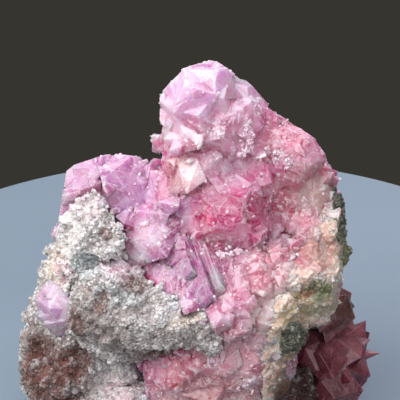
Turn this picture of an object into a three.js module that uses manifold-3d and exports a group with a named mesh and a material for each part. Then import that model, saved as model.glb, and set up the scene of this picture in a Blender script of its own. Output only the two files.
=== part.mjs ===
// A cobaltoan calcite specimen: pink calcite crystals grown over a broken piece of pale granular host rock.
// Millimetres, +Z up, with the show side towards -Y. The origin is the middle of the footprint, on the flat
// trimmed base. Every solid is a join of convex forms, and a form is the list of its corner points.
import * as THREE from "three";
import { ConvexGeometry } from "three/addons/geometries/ConvexGeometry.js";
import { mergeVertices } from "three/addons/utils/BufferGeometryUtils.js";
import Module from "manifold-3d";

const wasm = await Module();
wasm.setup();

// Driving dimensions
const seam = 0.4; // clearance cut round each piece where another sits against it
const goldenAngle = Math.PI * (3 - Math.sqrt(5)); // spreads points evenly round a lump

// Pink calcite masses, each an uneven ellipsoid: its middle, and its half sizes along X, Y and Z.
const peak = { at: [1, 2, 61], half: [7, 7.5, 8], seed: 11 };
const neck = { at: [7.5, 3.5, 58.2], half: [7, 6.5, 6], seed: 19 };
const throat = { at: [0, -2.5, 53], half: [6.8, 7.5, 7.5], seed: 20 };
const shoulder = { at: [9, 4, 51.5], half: [11, 10.5, 10], seed: 12 };
const rightShoulder = { at: [16, 5, 41], half: [11, 10.5, 13], seed: 13 };
const middle = { at: [3.5, -2, 44], half: [11, 11, 13], seed: 14 };
const belly = { at: [7, -8, 31.5], half: [11, 11.5, 11], seed: 15 };
const valley = { at: [-6, -4.5, 39.5], half: [8.5, 9, 10.5], seed: 16 };
const foot = { at: [3, -12, 17], half: [14, 10.5, 12], seed: 17 };
const block = { at: [-16, 0, 45.5], half: [8, 6.5, 6.5], seed: 18 };
const pinkMasses = [peak, neck, throat, shoulder, rightShoulder, middle, belly, valley, foot, block];

// Host rock masses. The wide base stands on the floor; the ledge juts out over the foot.
const rockMasses = [
  { at: [-4, 1, 7], half: [30, 22.5, 12], corners: 46, square: 0.65, rough: 0.2, seed: 21 }, // base
  { at: [-19.5, -4, 16.5], half: [14.5, 14, 15.5], corners: 30, rough: 0.16, square: 1, seed: 22 }, // left flank
  { at: [-20.5, -5, 31.5], half: [8, 7.5, 8], corners: 24, rough: 0.16, seed: 33 }, // left step
  { at: [-17, -4, 36.5], half: [9, 9.5, 10.5], corners: 30, rough: 0.2, seed: 23 }, // left shoulder
  { at: [-11, -12, 30], half: [12, 10.5, 9], turn: [12, 0, -10], corners: 36, rough: 0.18, seed: 24 }, // slope
  { at: [-7, -17, 30], half: [13, 7, 3.6], turn: [6, -8, -6], corners: 36, rough: 0.18, seed: 25 }, // ledge
  { at: [0, 13, 20], half: [24, 10, 16], turn: [0, 6, 4], corners: 34, square: 0.6, rough: 0.26, seed: 26 }, // back
  { at: [6, 9, 36], half: [14, 9, 8], turn: [8, -10, 10], corners: 26, square: 0.6, rough: 0.2, seed: 30 }, // back top
  { at: [8, 17, 13], half: [13, 8, 9], turn: [0, 10, 15], corners: 24, square: 0.6, rough: 0.2, seed: 28 }, // back step
  { at: [-12, 12, 30], half: [9, 9, 9], turn: [10, 0, 20], corners: 24, square: 0.6, seed: 29 }, // back shoulder
  { at: [18.5, 8, 26], half: [8, 10, 18], corners: 34, square: 0.7, rough: 0.2, seed: 27 }, // right flank
];

const creamMasses = [
  { at: [17, -8, 33], half: [10, 9.5, 8], corners: 34, square: 0.7, seed: 31 },
  { at: [13, -13, 28], half: [7.5, 8, 8], corners: 28, square: 0.7, seed: 32 },
  { at: [21.5, -1, 37], half: [6, 8, 8.5], corners: 28, square: 0.7, seed: 33 },
  { at: [13, -14, 19], half: [4.5, 6.5, 8.5], corners: 24, square: 0.7, seed: 34 },
];

const clusterMass = { at: [21.5, -1, 12], half: [7, 7.5, 8], corners: 24, seed: 35 };

// Forms

const vec = (p) => new THREE.Vector3(...p);
const radians = THREE.MathUtils.degToRad;
const sumOf = (numbers) => numbers.reduce((sum, number) => sum + number, 0);

// A repeatable stream of numbers from 0 to 1.
function seededRandom(seed) {
  let state = seed * 2654435761;
  return () => {
    state = (state + 0x6d2b79f5) | 0;
    let t = Math.imul(state ^ (state >>> 15), 1 | state);
    t = (t + Math.imul(t ^ (t >>> 7), 61 | t)) ^ t;
    return ((t ^ (t >>> 14)) >>> 0) / 4294967296;
  };
}

// Directions spread evenly over a sphere.
function directions(count, start = 0) {
  return Array.from({ length: count }, (_, i) => {
    const z = 1 - (2 * (i + 0.5)) / count;
    const ring = Math.sqrt(1 - z * z);
    const around = i * goldenAngle + start;
    return vec([ring * Math.cos(around), ring * Math.sin(around), z]);
  });
}

// A broken lump: points on a squarish ellipsoid, each one moved inwards a little at random.
function lump({ at, half, turn = [0, 0, 0], corners = 30, rough = 0.14, square = 0.8, seed = 1 }) {
  const random = seededRandom(seed);
  const rotation = new THREE.Euler(...turn.map(radians));
  return directions(corners, seed).map((out) => {
    const p = vec(out.toArray().map((c) => Math.sign(c) * Math.abs(c) ** square));
    p.multiplyScalar(1 - rough * random()).multiply(vec(half));
    return p.applyEuler(rotation).add(vec(at));
  });
}

// Turns a form drawn with its tip at the origin and its axis along +Z, and moves it to its place.
function stand(points, { tip, axis, spin = 0 }) {
  const up = new THREE.Vector3(0, 0, 1);
  const stance = new THREE.Quaternion().setFromUnitVectors(up, vec(axis).normalize());
  return points.map((p) => vec(p).applyAxisAngle(up, radians(spin)).applyQuaternion(stance).add(vec(tip)));
}

// A rhombohedron, three pairs of flat faces. slope is the angle between its axis and the edges at its tip.
function rhomb({ size, slope = 58, ...place }) {
  const edges = [0, 120, 240].map((around) =>
    new THREE.Vector3().setFromSphericalCoords(size, Math.PI - radians(slope), radians(around)),
  );
  const points = [];
  for (let corner = 0; corner < 8; corner++) {
    const p = new THREE.Vector3();
    edges.forEach((edge, i) => corner & (1 << i) && p.add(edge));
    points.push([p.z, p.x, p.y]);
  }
  return stand(points, place);
}

// A dogtooth crystal: six steep faces meet at its tip, over a zigzag girdle, and its root is a blunt point.
function dogtooth({ length, width, zigzag = 0.15, ...place }) {
  const points = [[0, 0, 0]];
  for (let i = 0; i < 6; i++) {
    const side = i % 2 ? 1 : -1;
    const around = radians(60 * i + 7 * side);
    const drop = length * (1 + zigzag * side);
    points.push([(width / 2) * Math.cos(around), (width / 2) * Math.sin(around), -drop]);
  }
  points.push([0, 0, -1.6 * length]);
  return stand(points, place);
}

// A long blade: a sharp ridge from one point to another, over a wide keel.
function blade({ from, to, width, depth }) {
  const [start, end] = [vec(from), vec(to)];
  const along = end.clone().sub(start).normalize();
  const side = new THREE.Vector3().crossVectors(along, new THREE.Vector3(0, -0.6, 0.8)).normalize();
  const down = new THREE.Vector3().crossVectors(along, side).normalize();
  if (down.z > 0) down.negate();
  const points = [start, end];
  for (const [base, run] of [[start, -1.5], [end, 1]]) {
    for (const edge of [-1, 1]) {
      const p = base.clone().addScaledVector(along, run).addScaledVector(side, (edge * width) / 2);
      points.push(p.addScaledVector(down, depth * 0.55));
    }
  }
  points.push(start.clone().addScaledVector(down, depth * 2), end.clone().addScaledVector(down, depth * 1.6));
  return points;
}

// Is the point inside the ellipsoid of one of these masses, scaled by a share?
function inside(point, masses, share = 1) {
  return masses.some(({ at, half }) => point.clone().sub(vec(at)).divide(vec(half)).length() < share);
}

// Stout crystals coating a mass: only their corners stand proud of it. free says where one may grow.
function coat(mass, { count, size, relief, lean, seed, free }) {
  const random = seededRandom(seed);
  const grown = [];
  for (const out of directions(count, seed)) {
    const foot = out.clone().multiply(vec(mass.half)).add(vec(mass.at));
    const axis = out.clone().divide(vec(mass.half)).normalize();
    axis.add(vec([random() - 0.5, random() - 0.5, random() - 0.5]).multiplyScalar(2 * lean)).normalize();
    const scale = 0.7 + 0.6 * random();
    const tip = foot.clone().addScaledVector(axis, relief * scale).toArray();
    const spin = 120 * random();
    const slope = 56 + 12 * random();
    if (free(foot)) grown.push(rhomb({ tip, axis: axis.toArray(), size: size * scale, slope, spin }));
  }
  return grown;
}

// Solids

function solidOf(geometry) {
  const bare = geometry.clone();
  bare.deleteAttribute("normal");
  bare.deleteAttribute("uv");
  const merged = mergeVertices(bare, 1e-4);
  return new wasm.Manifold(
    new wasm.Mesh({
      numProp: 3,
      vertProperties: merged.attributes.position.array,
      triVerts: new Uint32Array(merged.index.array),
    }),
  );
}

function geometryOf(solid) {
  const mesh = solid.getMesh();
  const points = new Float32Array(mesh.numVert * 3);
  for (let i = 0; i < mesh.numVert; i++) {
    points.set(mesh.vertProperties.subarray(i * mesh.numProp, i * mesh.numProp + 3), i * 3);
  }
  const geometry = new THREE.BufferGeometry();
  geometry.setAttribute("position", new THREE.BufferAttribute(points, 3));
  geometry.setIndex(new THREE.BufferAttribute(new Uint32Array(mesh.triVerts), 1));
  return geometry;
}

// The form scaled about its middle so that every face moves out by at least the clearance.
function withClearance(points, clearance) {
  const centre = points.reduce((sum, p) => sum.add(p), new THREE.Vector3()).divideScalar(points.length);
  const hull = new ConvexGeometry(points);
  const [corner, normal] = [hull.attributes.position, hull.attributes.normal];
  let reach = Infinity;
  for (let i = 0; i < corner.count; i += 3) {
    const p = new THREE.Vector3().fromBufferAttribute(corner, i).sub(centre);
    reach = Math.min(reach, p.dot(new THREE.Vector3().fromBufferAttribute(normal, i)));
  }
  return points.map((p) => p.clone().sub(centre).multiplyScalar(1 + clearance / reach).add(centre));
}

const solidFrom = (forms) => wasm.Manifold.union(forms.map((points) => solidOf(new ConvexGeometry(points))));
const roomFor = (forms) => solidFrom(forms.map((points) => withClearance(points, seam)));

// The largest connected body: loose chips left by a cut are dropped.
function mainBody(solid) {
  return solid.decompose().reduce((best, next) => (next.volume() > best.volume() ? next : best));
}

// Pink calcite: the peak, the slope under it, the block at the left and the foot, grown together

const crownCrystals = [
  // left edge of the crown
  [[-6.5, 1, 66.5], [-6.5, 0, 64], [-5.5, -1, 61.5], [-4, -4, 61.5], [-3, -5.5, 65.5], [-4.5, -2, 69],
    [-5, 2, 67.5], [1, 2, 61], [0, -1, 65]],
  // crest behind
  [[-2, 1, 70.5], [1, 2, 72], [3.5, 3, 71.5], [6, 3, 69.5], [8.5, 4, 66.2], [-1, 7.5, 65.5], [-3, 5, 66.5],
    [2, 2, 59]],
  // cheek below the left edge
  [[-6, 0, 62.5], [-3, -5.5, 65.5], [-4, -5.5, 61.5], [-5.5, -2, 61], [-1, -1, 62], [1, -2, 60]],
  // long crystal pointing left
  [[-6.5, -2, 57.5], [-5.5, -4.5, 60], [-2, -7.5, 61.5], [1.5, -9, 62], [1, -10, 60], [-3, -8, 57.5],
    [-5.5, -4, 56.5], [0, -2, 57], [2, -4, 60]],
  // small tooth at its end
  [[-8.6, 0, 57.5], [-6, 1.5, 59], [-5.5, -2, 58.5], [-5, -0.5, 55], [-3, 1, 57]],
  // pale dogtooth face under it
  [[-3.5, -7, 57], [0.5, -9, 57], [2, -10.5, 54], [-1.5, -12, 52], [-4.5, -8.5, 50.5], [-5.5, -5, 52],
    [0, -4, 50], [1, -5, 56]],
  // flat window on the right slope
  [[9, -3, 61.5], [13, -1, 60], [14.5, -3, 56.5], [12, -6, 55.5], [9, -7, 58], [9, 2, 54], [12, 1, 54],
    [7, -2, 58]],
];

// Stout rhombohedra at the front of the crown, all leaning much the same way
const crownRhombs = [
  { tip: [-1.5, -5.5, 69.8], axis: [-0.25, -0.65, 0.7], size: 6, slope: 63, spin: 100 },
  { tip: [3.2, -3, 71.5], axis: [0.1, -0.5, 0.85], size: 5.5, slope: 62, spin: 40 },
  { tip: [5, -5.5, 67.5], axis: [0.4, -0.75, 0.5], size: 5.5, slope: 60, spin: 75 },
  { tip: [-4, -6.5, 65.5], axis: [-0.5, -0.8, 0.3], size: 5.5, slope: 62, spin: 20 },
  { tip: [0.5, -7.5, 65], axis: [0, -0.9, 0.35], size: 6, slope: 64, spin: 50 },
  { tip: [8, -3, 64], axis: [0.4, -0.6, 0.65], size: 6, slope: 62, spin: 10 },
  { tip: [5, -8, 61], axis: [0.25, -0.9, 0.35], size: 6, slope: 64, spin: 85 },
];

const blockCrystals = [
  // the wide front crystal, with an upright edge
  [[-17, -5, 53.5], [-14, 1, 54], [-10.5, 1, 54], [-8.5, 0, 51.5], [-8, -4, 49.5], [-8, -7, 46],
    [-10.5, -8.5, 44.5], [-13, -9.5, 45.5], [-15.5, -10, 49], [-16.5, -8.5, 53], [-14, 3, 43], [-10, 2, 43]],
  // the left crystal
  [[-23.8, -2, 51], [-23, -4.5, 49.5], [-20.5, 0.5, 52.8], [-17, 2, 53.3], [-16.5, -5, 53], [-18, -8, 51.5],
    [-21.5, -7, 50], [-20, 3, 44], [-16, 2, 44], [-23.5, -3, 45]],
  // the strip that runs down the left edge
  [[-23.5, -1, 49], [-24.5, -3, 44], [-26, -2, 38], [-24.5, 4, 40], [-22, 5, 48], [-20, 0, 40], [-20, 1, 48]],
];

const valleyCrystals = [
  // the wedge that closes the notch between the block and the crown
  [[-8, -3.5, 52.5], [-5.5, -5, 53.5], [-3, -7, 53], [-3.5, -9.5, 48.5], [-7, -8.5, 47], [-9, -6, 47.5],
    [-8, 0, 50], [-3, -1, 52], [-5, -3, 44]],
  [[-8.5, -7, 46], [-6.5, -6.5, 48.5], [-3, -7, 48.8], [-1.5, -9.5, 46.5], [-3.5, -12, 43.5], [-7.5, -11, 43],
    [-4, -3, 42]],
  [[-9, -9, 41.5], [-7.5, -11, 43.5], [-2.5, -12.5, 43.5], [-1, -13.5, 41], [-5, -14.5, 38.5],
    [-9, -12.5, 38.5], [-4, -7, 36]],
  [[-10.5, -10, 38.5], [-5.5, -14.5, 39.5], [-1, -16, 38], [-2.5, -18.5, 34.5], [-8, -17.5, 33.5],
    [-5, -9, 32]],
];

// Long blades side by side, running down to the ledge
const blades = [
  { from: [-4, -13, 40.5], to: [-0.5, -20.5, 35], width: 4, depth: 2.4 },
  { from: [-1, -12.5, 42.5], to: [4.5, -23, 33.5], width: 3.8, depth: 2.8 },
  { from: [3, -12, 43], to: [6.5, -20.5, 35.5], width: 5.5, depth: 2 },
  { from: [5.5, -18, 36], to: [8, -22, 31], width: 4, depth: 2.2 },
];

const namedCrystals = [
  ...[...crownCrystals, ...blockCrystals, ...valleyCrystals].map((corners) => corners.map(vec)),
  ...crownRhombs.map(rhomb),
  ...blades.map(blade),
];
const namedMiddles = namedCrystals.map((points) =>
  new THREE.Box3().setFromPoints(points).getCenter(new THREE.Vector3()),
);

const coatCrystals = pinkMasses.flatMap((mass, i) =>
  coat(mass, {
    count: Math.round(0.85 * sumOf(mass.half)),
    size: 6,
    relief: 0.9,
    lean: 0.16,
    seed: 40 + i,
    free: (point) =>
      !inside(point, pinkMasses.filter((other) => other !== mass), 0.88) &&
      !inside(point, [...rockMasses, ...creamMasses]) &&
      !namedMiddles.some((centre) => centre.distanceTo(point) < 4.5),
  }),
);

const pinkForms = [...pinkMasses.map(lump), ...namedCrystals, ...coatCrystals];
const pinkSolid = mainBody(solidFrom(pinkForms));

// Cream calcite: the fine-grained rounded rim at the lower right of the slope

const creamCoat = creamMasses.flatMap((mass, i) =>
  coat(mass, {
    count: 10,
    size: 5,
    relief: 0.5,
    lean: 0.3,
    seed: 50 + i,
    free: (point) =>
      !inside(point, creamMasses.filter((other) => other !== mass), 0.9) &&
      !inside(point, [...pinkMasses, ...rockMasses]),
  }),
);

const creamForms = [...creamMasses.map(lump), ...creamCoat];
const creamSolid = mainBody(solidFrom(creamForms).subtract(roomFor(pinkForms)));

// The lower cluster: dark rose dogtooth crystals in the hollow under the rim

const clusterTeeth = [
  { tip: [34.3, -0.5, 13.6], axis: [1, 0, 0.12], length: 10, width: 7, spin: 10 },
  { tip: [32.3, -2, 17.4], axis: [0.8, -0.15, 0.5], length: 8, width: 9, spin: 40 },
  { tip: [31.5, 0.5, 20], axis: [0.6, 0.1, 0.8], length: 8, width: 10, spin: 0 },
  { tip: [32.5, -3, 10], axis: [0.9, -0.3, -0.05], length: 8, width: 10, spin: 20 },
  { tip: [30, -5, 6], axis: [0.7, -0.5, -0.25], length: 8, width: 9, spin: 70 },
  { tip: [28.5, -9, 12.5], axis: [0.5, -0.85, 0.2], length: 9, width: 9, spin: 15 },
  { tip: [24, -10.5, 7.5], axis: [0.2, -0.95, 0.05], length: 8, width: 9, spin: 50 },
  { tip: [22.5, -11.5, 14.5], axis: [0, -0.9, 0.4], length: 9, width: 6, spin: 35 },
  { tip: [27.5, -7.5, 19], axis: [0.4, -0.7, 0.6], length: 8, width: 9, spin: 5 },
  { tip: [32, 5, 11], axis: [0.9, 0.4, 0.1], length: 9, width: 10, spin: 25 },
  { tip: [29, 8, 16.5], axis: [0.7, 0.6, 0.4], length: 8, width: 9, spin: 55 },
];

const clusterForms = [lump(clusterMass), ...clusterTeeth.map(dogtooth)];
const clusterSolid = mainBody(solidFrom(clusterForms).subtract(roomFor([...pinkForms, ...creamForms])));

// The left crystal: one stout crystal held in the rock

const leftForms = [
  [[-28.6, -11.5, 31], [-26.6, -10.5, 34], [-24, -12.5, 33.6], [-22, -14, 30.3], [-24.2, -14.5, 27.3],
    [-27.6, -12, 27], [-25.8, -15, 31], [-23.5, -6, 31], [-24, -7, 27.5]].map(vec),
  rhomb({ tip: [-23.2, -15.2, 28.6], axis: [0.1, -0.9, 0.3], size: 4.5, slope: 60, spin: 80 }),
];
const leftSolid = solidFrom(leftForms);

// Host rock: the masses, small chunks all over them, and pits, cut flat underneath

// The spur that rises between the two crystals of the block
const spur = [[-17.6, -9.8, 52.3], [-20.4, -9.2, 50.6], [-15.7, -11, 49.5], [-13, -12.5, 46.5],
  [-22.4, -9.4, 47], [-24, -8, 43], [-20, -13.5, 42], [-13.5, -15, 41], [-17, -4, 40], [-23, -3, 40]].map(vec);

const leftRoom = { at: [-26, -6, 33], half: [9, 11, 13] }; // kept free of chunks round the left crystal
const rightRoom = { at: [30, 6, 30], half: [6, 20, 30] }; // kept free of chunks at the right edge
const chunks = rockMasses.flatMap((mass, i) => {
  const random = seededRandom(60 + i);
  return directions(Math.round(0.22 * sumOf(mass.half)), i)
    .map((out) => out.multiply(vec(mass.half)).multiplyScalar(0.82).add(vec(mass.at)))
    .filter((at) => at.x > -27 && at.z > 4 && !inside(at, [...pinkMasses, leftRoom, rightRoom]))
    .filter((at) => !inside(at, rockMasses.filter((other) => other !== mass), 0.85))
    .map((at) => {
      const size = 2.5 + 2.5 * random();
      const half = [size * 1.3, size, size * 0.7];
      const turn = [40 * random(), 40 * random(), 90 * random()];
      return lump({ at: at.toArray(), half, corners: 12, turn, seed: 70 + i });
    });
});

const pits = [
  { at: [-14, -19.5, 35.5], half: [4, 1.6, 1.3], turn: [30, 8, 0] },
  { at: [-20, -14.5, 36], half: [2.5, 2, 1.5] },
  { at: [-22, -15.5, 22], half: [4.5, 2.5, 2] },
  { at: [-9, -21.5, 25.5], half: [8, 3, 2], turn: [0, -6, 0] },
].map((pit) => lump({ ...pit, corners: 14, seed: 80 }));

const rockForms = [...rockMasses.map(lump), ...chunks, spur];
const underFloor = solidOf(new THREE.BoxGeometry(120, 120, 40).translate(0, 0, -20));
const otherForms = [...pinkForms, ...creamForms, ...clusterForms, ...leftForms];
const matrixSolid = mainBody(
  solidFrom(rockForms).subtract(wasm.Manifold.union([roomFor(otherForms), solidFrom(pits), underFloor])),
);

// The assembly

const specimen = new THREE.Group();

function addPiece(name, solid, colour, roughness) {
  const material = new THREE.MeshStandardMaterial({ color: colour, roughness, metalness: 0 });
  const mesh = new THREE.Mesh(geometryOf(solid), material);
  mesh.name = name;
  specimen.add(mesh);
}

addPiece("pink_calcite", pinkSolid, 0xd79cc0, 0.25);
addPiece("cream_calcite", creamSolid, 0xd8c3b0, 0.6);
addPiece("lower_cluster", clusterSolid, 0x9a5a68, 0.3);
addPiece("left_crystal", leftSolid, 0xd8a6c6, 0.3);
addPiece("matrix", matrixSolid, 0xb9b4ab, 0.95);

// The origin is the middle of the footprint.
const box = new THREE.Box3().setFromObject(specimen);
const centre = box.getCenter(new THREE.Vector3());
specimen.position.set(-centre.x, -centre.y, -box.min.z);

export default specimen;
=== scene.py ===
import math

import bmesh
import bpy
import numpy as np
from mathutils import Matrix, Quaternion, Vector
from mathutils.bvhtree import BVHTree


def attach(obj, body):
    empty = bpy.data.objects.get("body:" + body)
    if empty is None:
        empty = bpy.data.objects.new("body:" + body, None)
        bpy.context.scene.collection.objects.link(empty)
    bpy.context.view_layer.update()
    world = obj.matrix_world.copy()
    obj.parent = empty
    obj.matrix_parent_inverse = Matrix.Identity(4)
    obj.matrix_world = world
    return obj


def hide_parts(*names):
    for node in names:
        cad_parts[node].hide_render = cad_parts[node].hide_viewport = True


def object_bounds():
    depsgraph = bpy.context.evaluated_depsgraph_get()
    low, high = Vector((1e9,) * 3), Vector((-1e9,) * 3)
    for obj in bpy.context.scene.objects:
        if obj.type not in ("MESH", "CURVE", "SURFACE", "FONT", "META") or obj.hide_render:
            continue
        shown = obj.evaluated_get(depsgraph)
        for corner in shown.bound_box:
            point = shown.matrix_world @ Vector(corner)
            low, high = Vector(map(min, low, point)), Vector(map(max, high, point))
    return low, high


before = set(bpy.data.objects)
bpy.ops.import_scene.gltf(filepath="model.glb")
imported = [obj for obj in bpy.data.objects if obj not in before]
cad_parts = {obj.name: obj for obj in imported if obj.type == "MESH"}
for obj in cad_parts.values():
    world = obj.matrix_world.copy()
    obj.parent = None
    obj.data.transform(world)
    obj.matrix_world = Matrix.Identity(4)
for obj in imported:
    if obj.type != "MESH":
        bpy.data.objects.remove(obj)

cadLow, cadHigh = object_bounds()
mm = 0.001  # shapes are worked out in millimetres and turned into metres when a piece is made
boxLow = np.array(cadLow) / mm
boxHigh = np.array(cadHigh) / mm


# Places are given as shares of the specimen's own box: 0 at its low corner, 1 at its high one.
def place(share):
    return boxLow + np.array(share) * (boxHigh - boxLow)


# A zone with a soft border: its middle as shares of the box, its reach in millimetres and its strength
def patch(at, reach, amount=1.0):
    return {"at": at, "reach": reach, "amount": amount}


def between(limits, share):
    return limits[0] + (limits[1] - limits[0]) * share


def hexColour(text):
    channels = [int(text[i:i + 2], 16) / 255 for i in (1, 3, 5)]
    return tuple(c / 12.92 if c <= 0.04045 else ((c + 0.055) / 1.055) ** 2.4 for c in channels) + (1.0,)


# Numbers that look random but never change

noiseOffset = 400  # keeps every cell number above zero


def hashOf(cells, seed):
    cells = cells.astype(np.uint32)
    mixed = (cells[:, 0] * np.uint32(374761393) + cells[:, 1] * np.uint32(668265263)
             + cells[:, 2] * np.uint32(2246822519) + np.uint32(seed * 3266489 + 17))
    mixed = (mixed ^ (mixed >> np.uint32(13))) * np.uint32(1274126177)
    mixed = (mixed ^ (mixed >> np.uint32(15))) * np.uint32(2654435761)
    return ((mixed ^ (mixed >> np.uint32(16))) & np.uint32(0xFFFFFF)) / float(0xFFFFFF)


def valueNoise(points, scale, seed):  # -1 to 1, features about scale mm wide
    spot = points / scale + noiseOffset
    cell = np.floor(spot).astype(np.int64)
    part = spot - cell
    part = part * part * (3 - 2 * part)
    total = np.zeros(len(points))
    for corner in range(8):
        step = np.array([corner & 1, corner >> 1 & 1, corner >> 2 & 1])
        weight = np.prod(np.where(step, part, 1 - part), axis=1)
        total += weight * hashOf(cell + step, seed)
    return total * 2 - 1


def fractalNoise(points, scale, octaves, seed):
    total, weight = np.zeros(len(points)), 1.0
    for octave in range(octaves):
        total += weight * valueNoise(points, scale / 2 ** octave, seed + octave)
        weight *= 0.5
    return total / (2 - 2 * weight)


def cellNoise(points, scale, seed):  # distance to the nearest of scattered points, in cells
    spot = points / scale + noiseOffset
    cell = np.floor(spot).astype(np.int64)
    nearest = np.full(len(points), 9.0)
    for step in np.ndindex(3, 3, 3):
        near = cell + np.array(step) - 1
        jitter = np.stack([hashOf(near, seed + k) for k in range(3)], axis=1)
        nearest = np.minimum(nearest, np.linalg.norm(near + jitter - spot, axis=1))
    return nearest


def smoothStep(low, high, value):
    share = np.clip((value - low) / (high - low), 0, 1)
    return share * share * (3 - 2 * share)


# How far each point is inside any of these zones, from 0 to 1, with an uneven natural border
def zoneMask(points, zones, wobble=1.4, seed=1):
    shift = np.stack([fractalNoise(points, 4.0, 2, seed + 7 * k) for k in range(3)], axis=1)
    moved = points + wobble * shift
    mask = np.zeros(len(points))
    for zone in zones:
        apart = np.linalg.norm((moved - place(zone["at"])) / np.array(zone["reach"]), axis=1)
        mask = np.maximum(mask, zone["amount"] * (1 - smoothStep(0.55, 1.15, apart)))
    return mask


# Meshes

def meshArrays(mesh):
    points = np.empty(len(mesh.vertices) * 3)
    mesh.vertices.foreach_get("co", points)
    mesh.calc_loop_triangles()
    triangles = np.empty(len(mesh.loop_triangles) * 3, np.int32)
    mesh.loop_triangles.foreach_get("vertices", triangles)
    return points.reshape(-1, 3), triangles.reshape(-1, 3)


def cadCopy(node):  # the solid's mesh in millimetres, with shared corners
    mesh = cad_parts[node].data.copy()
    mesh.transform(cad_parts[node].matrix_world)
    mesh.transform(((1 / mm, 0, 0, 0), (0, 1 / mm, 0, 0), (0, 0, 1 / mm, 0), (0, 0, 0, 1)))
    work = bmesh.new()
    work.from_mesh(mesh)
    bmesh.ops.remove_doubles(work, verts=work.verts[:], dist=1e-4)
    work.to_mesh(mesh)
    work.free()
    mesh.materials.clear()
    if "custom_normal" in mesh.attributes:
        mesh.attributes.remove(mesh.attributes["custom_normal"])
    return mesh


def treeOf(*meshes):
    points, triangles, base = [], [], 0
    for mesh in meshes:
        p, t = meshArrays(mesh)
        points.append(p)
        triangles.append(t + base)
        base += len(p)
    return BVHTree.FromPolygons(np.concatenate(points).tolist(), np.concatenate(triangles).tolist())


def applied(mesh, kind, **settings):  # the mesh after one modifier
    piece = bpy.data.objects.new("work", mesh)
    bpy.context.scene.collection.objects.link(piece)
    modifier = piece.modifiers.new("work", kind)
    for key, value in settings.items():
        setattr(modifier, key, value)
    graph = bpy.context.evaluated_depsgraph_get()
    made = bpy.data.meshes.new_from_object(piece.evaluated_get(graph))
    bpy.data.objects.remove(piece)
    bpy.data.meshes.remove(mesh)
    return made


def meshFrom(points, faces):
    mesh = bpy.data.meshes.new("work")
    mesh.from_pydata(np.asarray(points).tolist(), [], faces)
    mesh.update()
    return mesh


def vertexNormals(mesh):
    normals = np.empty(len(mesh.vertices) * 3)
    mesh.vertex_normals.foreach_get("vector", normals)
    return normals.reshape(-1, 3)


def writeShade(mesh, name, values, domain="POINT"):
    attribute = mesh.attributes.new(name, "FLOAT", domain)
    attribute.data.foreach_set("value", np.asarray(values, np.float32))


def finishPiece(name, mesh, material, replaces=()):
    mesh.transform(((mm, 0, 0, 0), (0, mm, 0, 0), (0, 0, mm, 0), (0, 0, 0, 1)))
    mesh.name = name
    mesh.materials.clear()
    mesh.materials.append(material)
    piece = bpy.data.objects.new(name, mesh)
    bpy.context.scene.collection.objects.link(piece)
    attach(piece, "root")
    if replaces:
        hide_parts(*replaces)
    print(f"{name}: {len(mesh.vertices)} points, {len(mesh.polygons)} faces")
    return piece


# Crystals: each one is a convex form, given by its tip and the axis it points along

rhombFaces = [(0, 1, 3, 2), (0, 4, 5, 1), (0, 2, 6, 4), (7, 5, 4, 6), (7, 6, 2, 3), (7, 3, 1, 5)]
toothFaces = [(0, 1 + i, 1 + (i + 1) % 6) for i in range(6)]
toothFaces += [(7, 1 + (i + 1) % 6, 1 + i) for i in range(6)]


def turned(points, axis, spin):
    stance = Vector((0, 0, 1)).rotation_difference(Vector(axis)) @ Quaternion((0, 0, 1), spin)
    return points @ np.array(stance.to_matrix()).T


def rhombCrystal(tip, axis, size, slope, spin, stretch=(1, 1, 1)):
    edges = [size * stretch[k] * np.array([math.sin(slope) * math.cos(a), math.sin(slope) * math.sin(a),
                                           -math.cos(slope)])
             for k, a in enumerate((0, 2 * math.pi / 3, 4 * math.pi / 3))]
    points = np.array([sum((edges[k] for k in range(3) if corner >> k & 1), np.zeros(3))
                       for corner in range(8)])
    return turned(points, axis, spin) + tip, rhombFaces


def toothCrystal(tip, axis, length, width, spin):
    ring = [[width / 2 * math.cos(math.radians(60 * i + (7 if i % 2 else -7))),
             width / 2 * math.sin(math.radians(60 * i + (7 if i % 2 else -7))),
             -length * (1.15 if i % 2 else 0.85)] for i in range(6)]
    points = np.array([[0, 0, 0], *ring, [0, 0, -1.7 * length]])
    return turned(points, axis, spin) + tip, toothFaces


# Single crystals that are set one by one, each with its tip as shares of the box
def rhombAt(at, axis, size, slope, spin):
    axis = np.array(axis) / np.linalg.norm(axis)
    return rhombCrystal(place(at), axis, size, math.radians(slope), spin, (1, 0.9, 1.1))


def toothAt(at, axis, size, slim, spin):
    return toothCrystal(place(at), np.array(axis) / np.linalg.norm(axis), size, slim * size, spin)


# Broken crystal chips: a small flat top with sloping sides down to a hidden point
def makeChipForms(count, seed):
    random = np.random.default_rng(seed)
    forms = []
    for _ in range(count):
        work = bmesh.new()
        rings = ((random.integers(3, 6), 0.45, 0.8, 0.0, 0.06),
                 (random.integers(5, 8), 0.85, 1.2, 0.25, 0.6))
        for sides, near, far, high, low in rings:
            turn = random.random() * 6.28  # about one full turn
            for k in range(sides):
                angle = turn + 2 * math.pi * (k + 0.5 * random.random()) / sides
                radius = between((near, far), random.random())
                work.verts.new((radius * math.cos(angle), radius * math.sin(angle),
                                -between((high, low), random.random())))
        work.verts.new((0.2 * random.random(), 0.2 * random.random(), -1.5))
        made = bmesh.ops.convex_hull(work, input=work.verts[:])
        spare = {item for item in made["geom_interior"] + made["geom_unused"]
                 if isinstance(item, bmesh.types.BMVert)}
        bmesh.ops.delete(work, geom=list(spare), context="VERTS")
        work.verts.index_update()
        forms.append((np.array([vert.co.to_tuple() for vert in work.verts]),
                      [tuple(vert.index for vert in face.verts) for face in work.faces]))
        work.free()
    return forms


chipForms = makeChipForms(40, 77)


def chipCrystal(tip, axis, size, spin, pick):
    points, faces = chipForms[int(pick * len(chipForms)) % len(chipForms)]
    return turned(points * size, axis, spin) + tip, faces


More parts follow.
